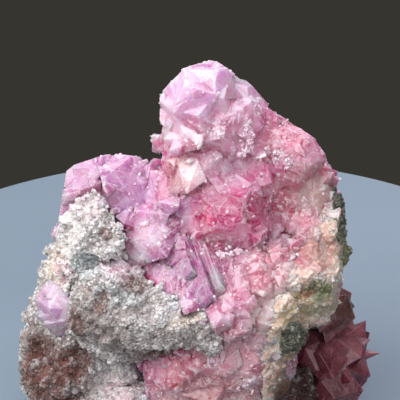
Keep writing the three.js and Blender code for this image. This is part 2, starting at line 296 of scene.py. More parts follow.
bladeCorners = [(0, -1, -1), (0, 1, -1), (0, 1, 1), (0, -1, 1),
                (0.97, -0.8, -0.6), (1, 0.5, -0.6), (0.9, 0.9, 0.8), (0.84, -0.7, 0.8)]
bladeFaces = [(0, 1, 2, 3), (4, 7, 6, 5), (0, 4, 5, 1), (1, 5, 6, 2), (2, 6, 7, 3), (3, 7, 4, 0)]


# A long flat blade with bevelled ends, growing from its root along its run
def bladeCrystal(root, run, facing, length, width, thickness):
    run = run / np.linalg.norm(run)
    side = np.cross(run, facing)
    side /= np.linalg.norm(side)
    up = np.cross(side, run)
    points = [root + run * (along * length) + side * (across * width / 2) + up * (lift * thickness / 2)
              for along, across, lift in bladeCorners]
    return np.array(points), bladeFaces


# The mesh with a closed form added (UNION) or taken away (DIFFERENCE)
def combined(mesh, tool, operation):
    work = bmesh.new()
    work.from_mesh(tool)
    bmesh.ops.recalc_face_normals(work, faces=work.faces[:])
    work.to_mesh(tool)
    work.free()
    cutter = bpy.data.objects.new("cutter", tool)
    bpy.context.scene.collection.objects.link(cutter)
    mesh = applied(mesh, "BOOLEAN", operation=operation, solver="MANIFOLD", object=cutter)
    bpy.data.objects.remove(cutter)
    bpy.data.meshes.remove(tool)
    return mesh


# Joins crystals to a mesh. Those in one group lie apart, so that each group is one clean solid.
def joinCrystals(mesh, crystals):
    groups = []
    for points, faces in crystals:
        centre = points.mean(0)
        reach = np.linalg.norm(points - centre, axis=1).max()
        for group in groups:
            apart = np.linalg.norm(np.array(group["centres"]) - centre, axis=1)
            if np.all(apart > np.array(group["reaches"]) + reach):
                break
        else:
            group = {"centres": [], "reaches": [], "points": [], "faces": []}
            groups.append(group)
        base = sum(map(len, group["points"]))
        group["centres"].append(centre)
        group["reaches"].append(reach)
        group["points"].append(points)
        group["faces"] += [tuple(base + k for k in face) for face in faces]
    for group in groups:
        tool = meshFrom(np.concatenate(group["points"]), group["faces"])
        mesh = combined(mesh, tool, "UNION")
    print(f"joined {len(crystals)} crystals in {len(groups)} groups")
    return mesh


cutDepth = 9  # how far out a cut reaches, in millimetres
boxFaces = [(0, 3, 2, 1), (4, 5, 6, 7), (0, 1, 5, 4), (1, 2, 6, 5), (2, 3, 7, 6), (3, 0, 4, 7)]


# One large flat face of a crystal: its middle, the way it faces and its width and height in millimetres
def flatFace(at, facing, window):
    return {"at": at, "facing": facing, "window": window}


# Whatever stands out past a flat face is cut away
def cutFaces(mesh, cuts):
    for cut in cuts:
        out = Vector(cut["facing"]).normalized()
        side = out.cross(Vector((0, 0, 1))).normalized()
        up = side.cross(out)
        middle = Vector(place(cut["at"]))
        across, high = side * (cut["window"][0] / 2), up * (cut["window"][1] / 2)
        corners = [middle + across * a + high * b + out * c for c in (0, cutDepth)
                   for a, b in ((-1, -1), (1, -1), (1, 1), (-1, 1))]
        tool = meshFrom([corner.to_tuple() for corner in corners], boxFaces)
        mesh = combined(mesh, tool, "DIFFERENCE")
    return mesh


# Points spread over a mesh, with the normals there and the values it carries
def sampleSurface(mesh, count, seed, weight=None, carry=()):
    points, triangles = meshArrays(mesh)
    a, b, c = (points[triangles[:, k]] for k in range(3))
    normal = np.cross(b - a, c - a)
    area = np.linalg.norm(normal, axis=1)
    normal /= area[:, None] + 1e-12
    share = area * (weight((a + b + c) / 3, normal) if weight else 1)
    random = np.random.default_rng(seed)
    pick = random.choice(len(triangles), count, p=share / share.sum())
    u, v = np.sqrt(random.random(count)), random.random(count)
    parts = np.stack([1 - u, u * (1 - v), u * v], axis=1)
    where = a[pick] * parts[:, :1] + b[pick] * parts[:, 1:2] + c[pick] * parts[:, 2:]
    carried = {}
    for name in carry:
        values = np.empty(len(points), np.float32)
        mesh.attributes[name].data.foreach_get("value", values)
        carried[name] = (values[triangles[pick]] * parts).sum(1)
    return (where, normal[pick], carried) if carry else (where, normal[pick])


def openPlaces(where, normal, others, gap=1.3):  # False where a neighbour lies right over the surface
    return np.array([others.ray_cast(p + 0.02 * n, n, gap)[0] is None
                     for p, n in zip(map(Vector, where.tolist()), map(Vector, normal.tolist()))])


# How far the highest of some points stands above a surface
def heightAbove(surface, points):
    highest = -9.0
    for point in map(Vector, points.tolist()):
        near, normal = surface.find_nearest(point)[:2]
        away = point - near
        highest = max(highest, math.copysign(away.length, away.dot(normal)))
    return highest


mostSunk = 0.8  # how far a crystal may be pushed back in, in millimetres
lowestCrystal = 3  # millimetres above the base


def growCrystals(mesh, families, others, seed, calm=()):
    crystals = []
    surface = treeOf(mesh)
    for index, family in enumerate(families):
        random = np.random.default_rng(seed + index)

        def weight(middle, normal, family=family):
            patches = 0.5 + 0.5 * fractalNoise(middle, family["patch"], 2, seed + index)
            density = family.get("even", 0.12) + smoothStep(0.35, 0.75, patches)
            if family.get("zones"):
                density = 0.02 + zoneMask(middle, family["zones"], seed=seed)
            return density * (1 - 0.95 * zoneMask(middle, calm, 0.3)) * (middle[:, 2] > lowestCrystal)

        where, normal = sampleSurface(mesh, family["count"], seed + 31 * index, weight)
        keep = openPlaces(where, normal, others)
        for spot, out in zip(where[keep], normal[keep]):
            axis = out + family["lean"] * random.normal(size=3)
            axis /= np.linalg.norm(axis)
            share = random.random() ** 2
            size, proud = between(family["size"], share), between(family["proud"], share)
            spin = 2 * math.pi * random.random()
            if family["form"] == "tooth":
                points, faces = toothCrystal(spot + out * proud, axis, size, size * family["slim"], spin)
            elif family["form"] == "chip":
                points, faces = chipCrystal(spot + out * proud, axis, size, spin, random.random())
            else:
                slope = math.radians(between(family["slope"], random.random()))
                points, faces = rhombCrystal(spot + out * proud, axis, size, slope, spin,
                                             0.75 + 0.6 * random.random(3))
            extra = heightAbove(surface, points) - proud * 1.25 - 0.05
            if extra < mostSunk:  # sunk back to its height; one that would still stick out is left away
                points = points - out * max(extra, 0)
                if heightAbove(surface, points) < proud * 1.25 + 0.25:
                    crystals.append((points, faces))
    return crystals


# Cuts long edges until the mesh is fine enough to carry soft colour changes. Each flat facet
# keeps one tone of its own, and facets at the painted places one mask of their own.
def refined(mesh, longest, facetPaint):
    work = bmesh.new()
    work.from_mesh(mesh)
    work.normal_update()
    normals = np.array([face.normal.to_tuple() for face in work.faces])
    middles = np.array([face.calc_center_median().to_tuple() for face in work.faces])
    areas = np.array([face.calc_area() for face in work.faces])
    offsets = np.einsum("ij,ij->i", normals, middles)
    keys = np.concatenate([np.round(normals * 40), np.round(offsets * 4)[:, None]], axis=1).astype(np.int64)
    flats, facet = np.unique(keys, axis=0, return_inverse=True)
    facet = facet.ravel()
    tones = hashOf(np.stack([flats[:, 0] * 7 + flats[:, 3], flats[:, 1], flats[:, 2]], axis=1), 5)
    total = np.bincount(facet, areas) + 1e-9
    centres = np.stack([np.bincount(facet, areas * middles[:, k]) / total for k in range(3)], axis=1)
    layers = {"tone": tones}
    for name, zones in facetPaint.items():
        layers[name] = zoneMask(centres, zones, 0.0)
    for name, values in layers.items():
        layer = work.faces.layers.float.new(name)
        for face, value in zip(work.faces, values[facet]):
            face[layer] = value
    bmesh.ops.triangulate(work, faces=work.faces[:])
    for _ in range(5):
        long = [edge for edge in work.edges if edge.calc_length() > longest]
        if not long:
            break
        bmesh.ops.subdivide_edges(work, edges=long, cuts=1)
        bmesh.ops.triangulate(work, faces=[face for face in work.faces if len(face.verts) > 3])
    work.to_mesh(mesh)
    work.free()
    return mesh


# Many small loose crystals or grains as one mesh, all made at once
def grainMesh(where, normal, sizes, sink, lean, stretch, seed):
    random = np.random.default_rng(seed)
    count = len(where)
    axis = normal + lean * random.normal(size=(count, 3))
    axis /= np.linalg.norm(axis, axis=1)[:, None]
    across = np.cross(axis, random.normal(size=(count, 3)))
    across /= np.linalg.norm(across, axis=1)[:, None]
    third = np.cross(axis, across)
    slope = math.radians(58)
    edges = []
    for k in range(3):
        turn = 2 * math.pi * k / 3
        sideways = math.sin(slope) * (math.cos(turn) * across + math.sin(turn) * third)
        length = sizes * between(stretch, random.random(count))
        edges.append((sideways - math.cos(slope) * axis) * length[:, None])
    tip = where + axis * (sizes * (1 - sink))[:, None]
    corners = np.stack([tip + sum((edges[k] for k in range(3) if corner >> k & 1), np.zeros(3))
                        for corner in range(8)], axis=1)
    faces = (np.array(rhombFaces)[None, :, ::-1] + 8 * np.arange(count)[:, None, None]).reshape(-1, 4)
    return meshFrom(corners.reshape(-1, 3), faces.tolist())


def neighbourMean(mesh, values, rounds=1):
    edges = np.empty(len(mesh.edges) * 2, np.int32)
    mesh.edges.foreach_get("vertices", edges)
    edges = edges.reshape(-1, 2)
    count = np.bincount(edges.ravel(), minlength=len(mesh.vertices)) + 1e-9
    flat = values.reshape(len(values), -1).astype(float)
    for _ in range(rounds):
        total = np.zeros_like(flat)
        for k in range(flat.shape[1]):
            total[:, k] = (np.bincount(edges[:, 0], flat[edges[:, 1], k], len(flat))
                           + np.bincount(edges[:, 1], flat[edges[:, 0], k], len(flat)))
        flat = total / count[:, None]
    return flat.reshape(values.shape)


# Each zone becomes a mask of its own that the material reads by name
def writeZones(mesh, points, zones, wobble, seed, corners=1):
    for index, (zone, spots) in enumerate(zones.items()):
        writeShade(mesh, zone, np.repeat(zoneMask(points, spots, wobble, seed + index), corners))


# gap: how shut in a point is, which the materials turn into painted shade. rim: how sharp an outward edge
# it is on, which the crystal material turns into a painted highlight.
def writeForm(mesh, others, rays=14, reach=3.5, seed=3):
    points, _ = meshArrays(mesh)
    normals = vertexNormals(mesh)
    tree = treeOf(mesh)
    random = np.random.default_rng(seed)
    directions = random.normal(size=(rays, 3))
    directions /= np.linalg.norm(directions, axis=1)[:, None]
    shut = np.zeros(len(points))
    for i, (p, n) in enumerate(zip(points, normals)):
        start = Vector(p + 0.05 * n)
        for d in directions:
            way = d + 1.25 * n
            way = Vector(way / np.linalg.norm(way))
            hit = tree.ray_cast(start, way, reach)[3]
            if hit is None:
                hit = others.ray_cast(start, way, reach)[3]
            if hit is not None:
                shut[i] += 1 - 0.6 * hit / reach
    shut /= rays
    middle = neighbourMean(mesh, points)
    away = points - middle
    rim = np.einsum("ij,ij->i", away, normals) / (np.linalg.norm(away, axis=1) + 0.12)
    writeShade(mesh, "gap", 0.5 * shut + 0.5 * neighbourMean(mesh, shut))
    writeShade(mesh, "rim", np.clip(rim, 0, 1))
    return points


# Short ways to build node trees

def newMaterial(name):
    material = bpy.data.materials.new(name)
    material.use_nodes = True
    tree = material.node_tree
    tree.nodes.clear()
    output = tree.nodes.new("ShaderNodeOutputMaterial")
    surface = tree.nodes.new("ShaderNodeBsdfPrincipled")
    tree.links.new(surface.outputs["BSDF"], output.inputs["Surface"])
    return material, tree, surface


def feed(tree, node, inputs):
    for key, value in inputs.items():
        if isinstance(value, bpy.types.NodeSocket):
            tree.links.new(value, node.inputs[key])
        else:
            node.inputs[key].default_value = value
    return node


def put(tree, kind, inputs=None, **settings):
    node = tree.nodes.new(kind)
    for key, value in settings.items():
        setattr(node, key, value)
    return feed(tree, node, inputs or {})


def maths(tree, operation, a, b=0.0):
    return put(tree, "ShaderNodeMath", {0: a, 1: b}, operation=operation).outputs[0]


def times(tree, a, b):
    return maths(tree, "MULTIPLY", a, b)


def blend(tree, factor, a, b, kind="MIX"):
    node = put(tree, "ShaderNodeMix", {0: factor, 6: a, 7: b}, data_type="RGBA", blend_type=kind)
    return node.outputs[2]


def ramp(tree, value, low, high, toLow=0.0, toHigh=1.0):
    node = put(tree, "ShaderNodeMapRange",
               {"Value": value, "From Min": low, "From Max": high, "To Min": toLow, "To Max": toHigh})
    return node.outputs["Result"]


def objectPlace(tree):
    return put(tree, "ShaderNodeTexCoord").outputs["Object"]


def perMetre(tree, size):  # a scale from a size in millimetres
    return maths(tree, "DIVIDE", 1 / mm, size)


def noise(tree, where, scale, **inputs):
    return put(tree, "ShaderNodeTexNoise", {"Vector": where, "Scale": scale, **inputs}).outputs


def voronoi(tree, where, scale, **settings):
    return put(tree, "ShaderNodeTexVoronoi", {"Vector": where, "Scale": scale}, **settings).outputs


# How light goes into a mineral: its refractive index and its glow from within
def letLightIn(surface, look, index):
    surface.inputs["IOR"].default_value = index
    surface.inputs["Subsurface Weight"].default_value = look["glow"]
    surface.inputs["Subsurface Radius"].default_value = look["radius"]
    surface.inputs["Subsurface Scale"].default_value = look["reach"] * mm


def shade(tree, name):
    return put(tree, "ShaderNodeAttribute", attribute_name=name).outputs["Fac"]


def newGroup(name, inputs, outputs):
    group = bpy.data.node_groups.new(name, "ShaderNodeTree")
    for label, kind, value in inputs:
        socket = group.interface.new_socket(label, in_out="INPUT", socket_type=kind)
        if value is not None:
            socket.default_value = value
    for label, kind in outputs:
        group.interface.new_socket(label, in_out="OUTPUT", socket_type=kind)
    return group, group.nodes.new("NodeGroupInput"), group.nodes.new("NodeGroupOutput")


def use(tree, group, **inputs):
    node = tree.nodes.new("ShaderNodeGroup")
    node.node_tree = group
    return feed(tree, node, inputs).outputs


floatKind = "NodeSocketFloat"


# Milky veils and healed cracks inside the calcite: cloudy patches and thin pale lines
def makeVeilGroup():
    group, given, result = newGroup(
        "milkyVeils",
        [("Size", floatKind, 3.0), ("Cloud", floatKind, 0.4), ("Cracks", floatKind, 0.5)],
        [("Cloud", floatKind), ("Cracks", floatKind)])
    where = objectPlace(group)
    scale = perMetre(group, given.outputs["Size"])
    cloud = noise(group, where, scale, Detail=4.0, Distortion=0.8)
    soft = ramp(group, cloud["Fac"], 0.48, 0.72)
    group.links.new(times(group, soft, given.outputs["Cloud"]), result.inputs["Cloud"])
    finer = times(group, scale, 1.7)
    line = noise(group, where, finer, Detail=3.0, Distortion=1.6)
    apart = maths(group, "ABSOLUTE", maths(group, "SUBTRACT", line["Fac"], 0.5))
    thin = ramp(group, apart, 0.0, 0.018, 1.0, 0.0)
    group.links.new(times(group, thin, given.outputs["Cracks"]), result.inputs["Cracks"])
    return group


# Where crystals meet inside the mass: a network of pale lines round cells of uneven depth
def makeMosaicGroup():
    group, given, result = newGroup(
        "crystalMosaic",
        [("Size", floatKind, 3.0), ("Warp", floatKind, 0.5), ("Line width", floatKind, 0.05)],
        [("Cell", floatKind), ("Line", floatKind)])
    where = objectPlace(group)
    scale = perMetre(group, given.outputs["Size"])
    wide = times(group, scale, 0.8)
    bend = noise(group, where, wide, Detail=2.0)
    shift = put(group, "ShaderNodeVectorMath", {0: bend["Color"], 1: (0.5, 0.5, 0.5)},
                operation="SUBTRACT")
    far = times(group, given.outputs["Warp"], given.outputs["Size"])
    far = times(group, far, mm)
    push = put(group, "ShaderNodeVectorMath", {0: shift.outputs[0], "Scale": far}, operation="SCALE")
    bent = put(group, "ShaderNodeVectorMath", {0: where, 1: push.outputs[0]}, operation="ADD").outputs[0]
    cells = voronoi(group, bent, scale)
    edges = voronoi(group, bent, scale, feature="DISTANCE_TO_EDGE")
    split = put(group, "ShaderNodeSeparateColor", {0: cells["Color"]})
    group.links.new(split.outputs[0], result.inputs["Cell"])
    line = ramp(group, edges["Distance"], 0.0, given.outputs["Line width"], 1.0, 0.0)
    broken = ramp(group, bend["Fac"], 0.38, 0.6)
    group.links.new(times(group, line, broken), result.inputs["Line"])
    return group


# Growth steps and fine pitting on crystal faces, as a height and a roughness
def makeFaceGroup():
    group, given, result = newGroup(
        "crystalFaces",
        [("Tone", floatKind, 0.5), ("Smooth", floatKind, 0.1), ("Dull", floatKind, 0.4)],
        [("Height", floatKind), ("Roughness", floatKind)])
    where = objectPlace(group)
    steps = noise(group, where, 900.0, Detail=3.0, Distortion=1.2)
    pits = noise(group, where, 3600.0, Detail=2.0)
    height = maths(group, "ADD", times(group, steps["Fac"], 0.7),
                   times(group, pits["Fac"], 0.3))
    group.links.new(height, result.inputs["Height"])
    share = maths(group, "ADD", times(group, given.outputs["Tone"], 0.6),
                  times(group, ramp(group, steps["Fac"], 0.4, 0.7), 0.4))
    span = maths(group, "SUBTRACT", given.outputs["Dull"], given.outputs["Smooth"])
    rough = maths(group, "ADD", given.outputs["Smooth"], times(group, share, span))
    group.links.new(rough, result.inputs["Roughness"])
    return group


# Sugary grain: crowded small grains as a height, and a mask of the pale ones
def makeGrainGroup():
    group, given, result = newGroup(
        "sugarGrain",
        [("Grain", floatKind, 0.4), ("Pale share", floatKind, 0.5)],
        [("Height", floatKind), ("Pale", floatKind), ("Speck", floatKind)])
    where = objectPlace(group)
    scale = perMetre(group, given.outputs["Grain"])
    cells = voronoi(group, where, scale)
    fine = noise(group, where, scale, Detail=3.0)
    height = times(group, fine["Fac"], 0.6)
    height = maths(group, "SUBTRACT", height, cells["Distance"])
    group.links.new(height, result.inputs["Height"])
    split = put(group, "ShaderNodeSeparateColor", {0: cells["Color"]})
    low = maths(group, "SUBTRACT", 1.0, given.outputs["Pale share"])
    pale = ramp(group, split.outputs[0], low, maths(group, "ADD", low, 0.25))
    group.links.new(pale, result.inputs["Pale"])
    speck = ramp(group, split.outputs[1], 0.9, 0.97)
    group.links.new(speck, result.inputs["Speck"])
    return group


# Iron stain: a painted mask broken up by noise into rusty blotches
def makeStainGroup():
    group, given, result = newGroup(
        "ironStain",
        [("Mask", floatKind, 0.0), ("Size", floatKind, 2.0), ("Spread", floatKind, 0.5)],
        [("Stain", floatKind)])
    where = objectPlace(group)
    scale = perMetre(group, given.outputs["Size"])
    blot = noise(group, where, scale, Detail=6.0, Roughness=0.75)
    total = maths(group, "ADD", times(group, given.outputs["Mask"], given.outputs["Spread"]),
                  blot["Fac"])
    group.links.new(ramp(group, total, 0.6, 1.0), result.inputs["Stain"])
    return group


veilGroup, faceGroup, mosaicGroup = makeVeilGroup(), makeFaceGroup(), makeMosaicGroup()
grainGroup, stainGroup = makeGrainGroup(), makeStainGroup()
print("node groups ready")


# The light, the floor and the camera

studio = {
    "elevation": 26.0, "distance": 0.42, "lens": 210.0, "sensor": 36, "aim": (0.498, 0.469, 0.625),
    "floorRadius": 0.0777, "floorMiddle": (0.001, 0.035), "floorThickness": 0.006, "floorEdge": 0.0008,
    "floorColours": ("#6f8391", "#778b99"),
    "dark": "#37352f",
    "key": {"from": (-0.40, -0.20, 0.40), "size": 0.5, "power": 3.7, "colour": "#fff8f4"},
    "top": {"from": (0.02, -0.05, 0.58), "size": 0.5, "power": 2.1, "colour": "#f6f6ff"},
    "front": {"from": (0.10, -0.60, 0.34), "size": 0.7, "power": 3.0, "colour": "#f6f4fa"},
    "back": {"from": (0.12, 0.42, 0.38), "size": 0.45, "power": 1.6, "colour": "#fbf3ff"},
}


def addLight(name, settings):
    light = bpy.data.lights.new(name, "AREA")
    light.size = settings["size"]
    light.energy = settings["power"]
    light.color = hexColour(settings["colour"])[:3]
    lamp = bpy.data.objects.new(name, light)
    bpy.context.scene.collection.objects.link(lamp)
    lamp.location = settings["from"]
    lamp.rotation_mode = "QUATERNION"
    lamp.rotation_quaternion = (Vector(place(studio["aim"]) * mm) - lamp.location).to_track_quat("-Z", "Y")


def buildStudio():
    scene = bpy.context.scene
    scene.view_settings.view_transform = "Standard"
    aim = Vector(place(studio["aim"]) * mm)
    tilt = math.radians(studio["elevation"])
    back = Vector((0, -math.cos(tilt), math.sin(tilt)))
    lens = bpy.data.cameras.new("camera")
    lens.sensor_width = studio["sensor"]
    lens.lens = studio["lens"]
    camera = bpy.data.objects.new("camera", lens)
    scene.collection.objects.link(camera)
    camera.location = aim + studio["distance"] * back
    camera.rotation_euler = (math.pi / 2 - tilt, 0, 0)
    scene.camera = camera
    for name in ("key", "top", "front", "back"):
        addLight(name, studio[name])
    world = bpy.data.worlds.new("dark room")
    world.use_nodes = True
    world.node_tree.nodes["Background"].inputs["Color"].default_value = hexColour(studio["dark"])
    scene.world = world

    work = bmesh.new()
    bmesh.ops.create_cone(work, cap_ends=True, segments=180, radius1=studio["floorRadius"] - 0.001,
                          radius2=studio["floorRadius"], depth=studio["floorThickness"])
    bmesh.ops.translate(work, verts=work.verts[:],
                        vec=(*studio["floorMiddle"], -studio["floorThickness"] / 2))
    rim = [edge for edge in work.edges if all(abs(v.co.z) < 1e-6 for v in edge.verts)]
    bmesh.ops.bevel(work, geom=rim, offset=studio["floorEdge"], segments=3, affect="EDGES")
    mesh = bpy.data.meshes.new("floor")
    work.to_mesh(mesh)
    work.free()
    mesh.polygons.foreach_set("use_smooth", [False] * len(mesh.polygons))
    material, tree, surface = newMaterial("pale stand")
    where = objectPlace(tree)
    cloud = noise(tree, where, 14.0, Detail=4.0)
    tint = blend(tree, ramp(tree, cloud["Fac"], 0.3, 0.7), *map(hexColour, studio["floorColours"]))
    tree.links.new(tint, surface.inputs["Base Color"])
    surface.inputs["Roughness"].default_value = 0.55
    mesh.materials.append(material)
    floor = bpy.data.objects.new("floor", mesh)
    scene.collection.objects.link(floor)


buildStudio()
print("studio ready")


# Crystal pieces

# Paints the crystals: zone colours first, some of them painted light and painted shade, then facet tones
# that are mostly painted reflections and painted shade, painted shade in the gaps, veils, painted
# highlights on outward edges and whole facets, and worn edges rounded by a bevel
def crystalMaterial(name, look, zoneNames):
    material, tree, surface = newMaterial(name)
    gap, rim, tone = shade(tree, "gap"), shade(tree, "rim"), shade(tree, "tone")
    veils = use(tree, veilGroup, Size=look["veilSize"], Cloud=look["cloud"], Cracks=look["cracks"])
    faces = use(tree, faceGroup, Tone=tone, Smooth=look["smooth"], Dull=look["dull"])
    white, deep = hexColour(look["white"]), hexColour(look["deep"])
    colour = hexColour(look["body"])
    for zone in zoneNames:
        colour = blend(tree, shade(tree, zone), colour, hexColour(look[zone]))
    # Random facets turn paler or deeper; this is mostly painted light: painted reflections on some facets,
    # painted shade on others
    colour = blend(tree, ramp(tree, tone, 0.5, 1.0, 0.0, look["toneUp"]), colour, white)
    colour = blend(tree, ramp(tree, tone, 0.0, 0.4, look["toneDown"], 0.0), colour,
                   blend(tree, 0.6, colour, deep, "MULTIPLY"))
    # Painted shade: places shut in by their neighbours are darkened towards the deep colour
    shut = times(tree, ramp(tree, gap, 0.1, 0.62), look["paintedShadeTint"])
    colour = blend(tree, shut, colour, blend(tree, 0.85, colour, deep, "MULTIPLY"))
    colour = blend(tree, times(tree, shade(tree, "window"), 0.55), colour, deep)
    coarse = use(tree, mosaicGroup, Size=look["cellSize"], Warp=0.9, **{"Line width": 0.045})
    fine = use(tree, mosaicGroup, Size=0.4 * look["cellSize"], Warp=1.1, **{"Line width": 0.06})
    colour = blend(tree, ramp(tree, coarse["Cell"], 0.1, 0.55, look["cellDeep"], 0.0), colour,
                   blend(tree, 0.75, colour, deep, "MULTIPLY"))
    colour = blend(tree, ramp(tree, coarse["Cell"], 0.6, 1.0, 0.0, look["cellPale"]), colour, white)
    colour = blend(tree, ramp(tree, fine["Cell"], 0.5, 1.0, 0.0, 0.5 * look["cellPale"]), colour, white)
    lines = maths(tree, "MAXIMUM", times(tree, coarse["Line"], look["lines"]),
                  times(tree, fine["Line"], 0.7 * look["lines"]))
    veil = maths(tree, "MAXIMUM", maths(tree, "MAXIMUM", veils["Cloud"], veils["Cracks"]), lines)
    # veils are kept faint where the painted shade falls
    veil = times(tree, veil, ramp(tree, gap, 0.2, 0.7, 1.0, 0.35))
    # Painted highlight: sharp outward edges turn towards white
    pale = maths(tree, "MAXIMUM", veil, ramp(tree, rim, 0.22, 0.75, 0.0, look["edge"]))
    # Painted reflection: chosen whole facets turn white
    pale = maths(tree, "MAXIMUM", pale, times(tree, shade(tree, "paintedReflection"), 0.85))
    colour = blend(tree, pale, colour, white)
    tree.links.new(colour, surface.inputs["Base Color"])
    tree.links.new(faces["Roughness"], surface.inputs["Roughness"])
    worn = put(tree, "ShaderNodeBevel", {"Radius": look["worn"] * mm}, samples=6)
    bump = put(tree, "ShaderNodeBump", {"Height": faces["Height"], "Strength": 0.3, "Distance": 0.0002,
                                        "Normal": worn.outputs["Normal"]})
    tree.links.new(bump.outputs["Normal"], surface.inputs["Normal"])
    letLightIn(surface, look, 1.6)
    surface.inputs["Transmission Weight"].default_value = look["clear"]
    return material


nodes = ("pink_calcite", "cream_calcite", "lower_cluster", "left_crystal", "matrix")


def neighboursOf(node):
    return treeOf(*(cadCopy(other) for other in nodes if other != node))


longestEdge = 1.0  # millimetres, fine enough for soft colour changes on a crystal face


def buildCrystals(name, node, look, families, seed, zones, calm=(), paint=None, extra=(),
                  cuts=(), masses=()):
    others = neighboursOf(node)
    mesh = joinCrystals(cadCopy(node), [massForm(mass) for mass in masses])
    crystals = growCrystals(mesh, families, others, seed, calm)
    mesh = cutFaces(joinCrystals(mesh, crystals + list(extra)), cuts)
    mesh = refined(mesh, longestEdge, {"paintedReflection": [], "window": [], **(paint or {})})
    points = writeForm(mesh, others)
    writeZones(mesh, points, zones, 1.6, 60)
    keepInside(mesh)
    ground = mesh.copy()
    finishPiece(name, mesh, crystalMaterial(name.replace("_", " "), look, list(zones)), [node])
    return ground


pinkLook = {
    "body": "#e65aa2", "white": "#fff3fa", "deep": "#b8105c",
    "lilac": "#c384bc", "crown": "#efc6f0", "violet": "#a8629e", "rose": "#e02a86", "dusty": "#e28599",
    # the plum colour is painted shade on slopes lit from above
    "snow": "#f6def2", "paintedShadePlum": "#c05888", "rosewood": "#9c4650",
    "foot": "#dc9bab", "cream": "#e3c3b6", "amber": "#b9744a",
    "veilSize": 2.2, "cloud": 0.4, "cracks": 0.45, "smooth": 0.1, "dull": 0.42, "edge": 0.75,
    "toneUp": 0.18, "toneDown": 0.25, "paintedShadeTint": 0.5, "worn": 0.2, "clear": 0.2,
    # the bright pink is painted light for places in shade
    "cellSize": 3.4, "cellDeep": 0.5, "cellPale": 0.28, "lines": 0.68, "paintedLight": "#f6bad8",
    "magenta": "#b2509a",
    "glow": 1.0, "radius": (1.0, 0.6, 0.75), "reach": 3.6,
}

pinkZones = {
    "lilac": [patch((0.25, 0.42, 0.68), (13, 12, 10)), patch((0.42, 0.25, 0.6), (7, 8, 9)),
              patch((0.48, 0.16, 0.54), (6, 8, 7), 0.8)],
    "crown": [patch((0.48, 0.4, 0.96), (9, 14, 7.5)), patch((0.44, 0.32, 0.85), (5, 6, 3)),
              patch((0.58, 0.5, 0.93), (12, 12, 6), 0.75),
              patch((0.56, 0.34, 0.84), (8, 8, 8), 0.6),
              patch((0.1, 0.4, 0.62), (5, 12, 8), 0.9)],
    "violet": [patch((0.43, 0.2, 0.57), (6, 6, 3.5)), patch((0.49, 0.14, 0.54), (4, 6, 5), 0.7)],
    "rose": [patch((0.54, 0.23, 0.61), (7, 7, 6), 0.7), patch((0.525, 0.22, 0.584), (3.6, 6, 3)),
             patch((0.56, 0.36, 0.88), (4, 5, 1.8), 0.3), patch((0.43, 0.2, 0.58), (4, 5, 3), 0.8),
             patch((0.6, 0.27, 0.66), (6, 7, 5), 0.7)],
    "snow": [patch((0.36, 0.21, 0.62), (4, 5, 2.6), 0.9), patch((0.16, 0.42, 0.7), (5, 9, 6), 0.4),
             patch((0.335, 0.25, 0.56), (3, 5, 4), 0.7), patch((0.42, 0.36, 0.84), (5, 6, 3), 0.8),
             patch((0.36, 0.4, 0.83), (3, 4, 2.5), 0.8)],
    # painted shade: darker plum on slopes that face up into the light
    "paintedShadePlum": [patch((0.714, 0.28, 0.535), (10, 10, 4)), patch((0.56, 0.16, 0.52), (5, 7, 3.4), 0.8),
             patch((0.54, 0.16, 0.557), (5, 7, 4), 0.8), patch((0.66, 0.18, 0.5), (7, 8, 3.6), 0.8),
             patch((0.62, 0.21, 0.55), (9, 7, 4.4), 0.95)],
    # painted light: lighter pink where the forms above shade the crust
    "paintedLight": [patch((0.52, 0.3, 0.81), (9, 7, 6), 0.9), patch((0.55, 0.3, 0.77), (9, 7, 4), 0.8),
               patch((0.6, 0.42, 0.9), (6, 8, 5), 0.8), patch((0.6, 0.09, 0.46), (5, 7, 7), 0.75),
               patch((0.73, 0.43, 0.78), (7, 8, 4), 0.2)],
    "magenta": [patch((0.45, 0.19, 0.568), (6, 7, 4), 0.9), patch((0.52, 0.13, 0.52), (4, 6, 4), 0.6),
                patch((0.5, 0.12, 0.49), (6, 7, 4), 0.4)],
    "dusty": [patch((0.8, 0.4, 0.66), (9, 14, 9), 0.9), patch((0.73, 0.45, 0.8), (7, 8, 4), 0.6),
              patch((0.68, 0.37, 0.8), (3, 5, 3.4), 0.8), patch((0.72, 0.18, 0.53), (9, 9, 4), 0.9),
              patch((0.6, 0.05, 0.27), (16, 12, 13))],
    "foot": [patch((0.62, 0.06, 0.36), (8, 10, 7), 0.8), patch((0.6, 0.05, 0.22), (14, 10, 5), 0.5)],
    "cream": [patch((0.87, 0.3, 0.57), (5, 10, 6), 0.8), patch((0.8, 0.46, 0.65), (5, 8, 3), 0.8),
              patch((0.68, 0.1, 0.45), (4.5, 7, 5), 0.75), patch((0.45, 0.3, 0.75), (5, 5, 3.5), 0.6),
              patch((0.8, 0.16, 0.5), (8, 8, 6), 0.8)],
    "amber": [patch((0.62, 0.08, 0.12), (12, 9, 6)), patch((0.5, 0.06, 0.2), (10, 9, 4), 0.5),
              patch((0.66, 0.06, 0.18), (6, 8, 6), 0.8), patch((0.31, 0.33, 0.63), (1.4, 3, 1.4), 0.4)],
    "rosewood": [patch((0.56, 0.05, 0.25), (12, 8, 4), 0.8)],
}

pinkCalm = [
    patch((0.25, 0.4, 0.71), (11, 9, 8)),
    patch((0.46, 0.38, 0.94), (6, 6, 5)), patch((0.55, 0.38, 0.94), (5, 6, 4.5)),
    patch((0.45, 0.32, 0.85), (4.5, 3, 2)), patch((0.47, 0.29, 0.81), (2.2, 3, 1.6)),
    patch((0.46, 0.29, 0.77), (3, 3, 2.4)), patch((0.66, 0.38, 0.81), (2.4, 3, 3.2)),
    patch((0.41, 0.21, 0.64), (2.5, 3, 2.5)),
]

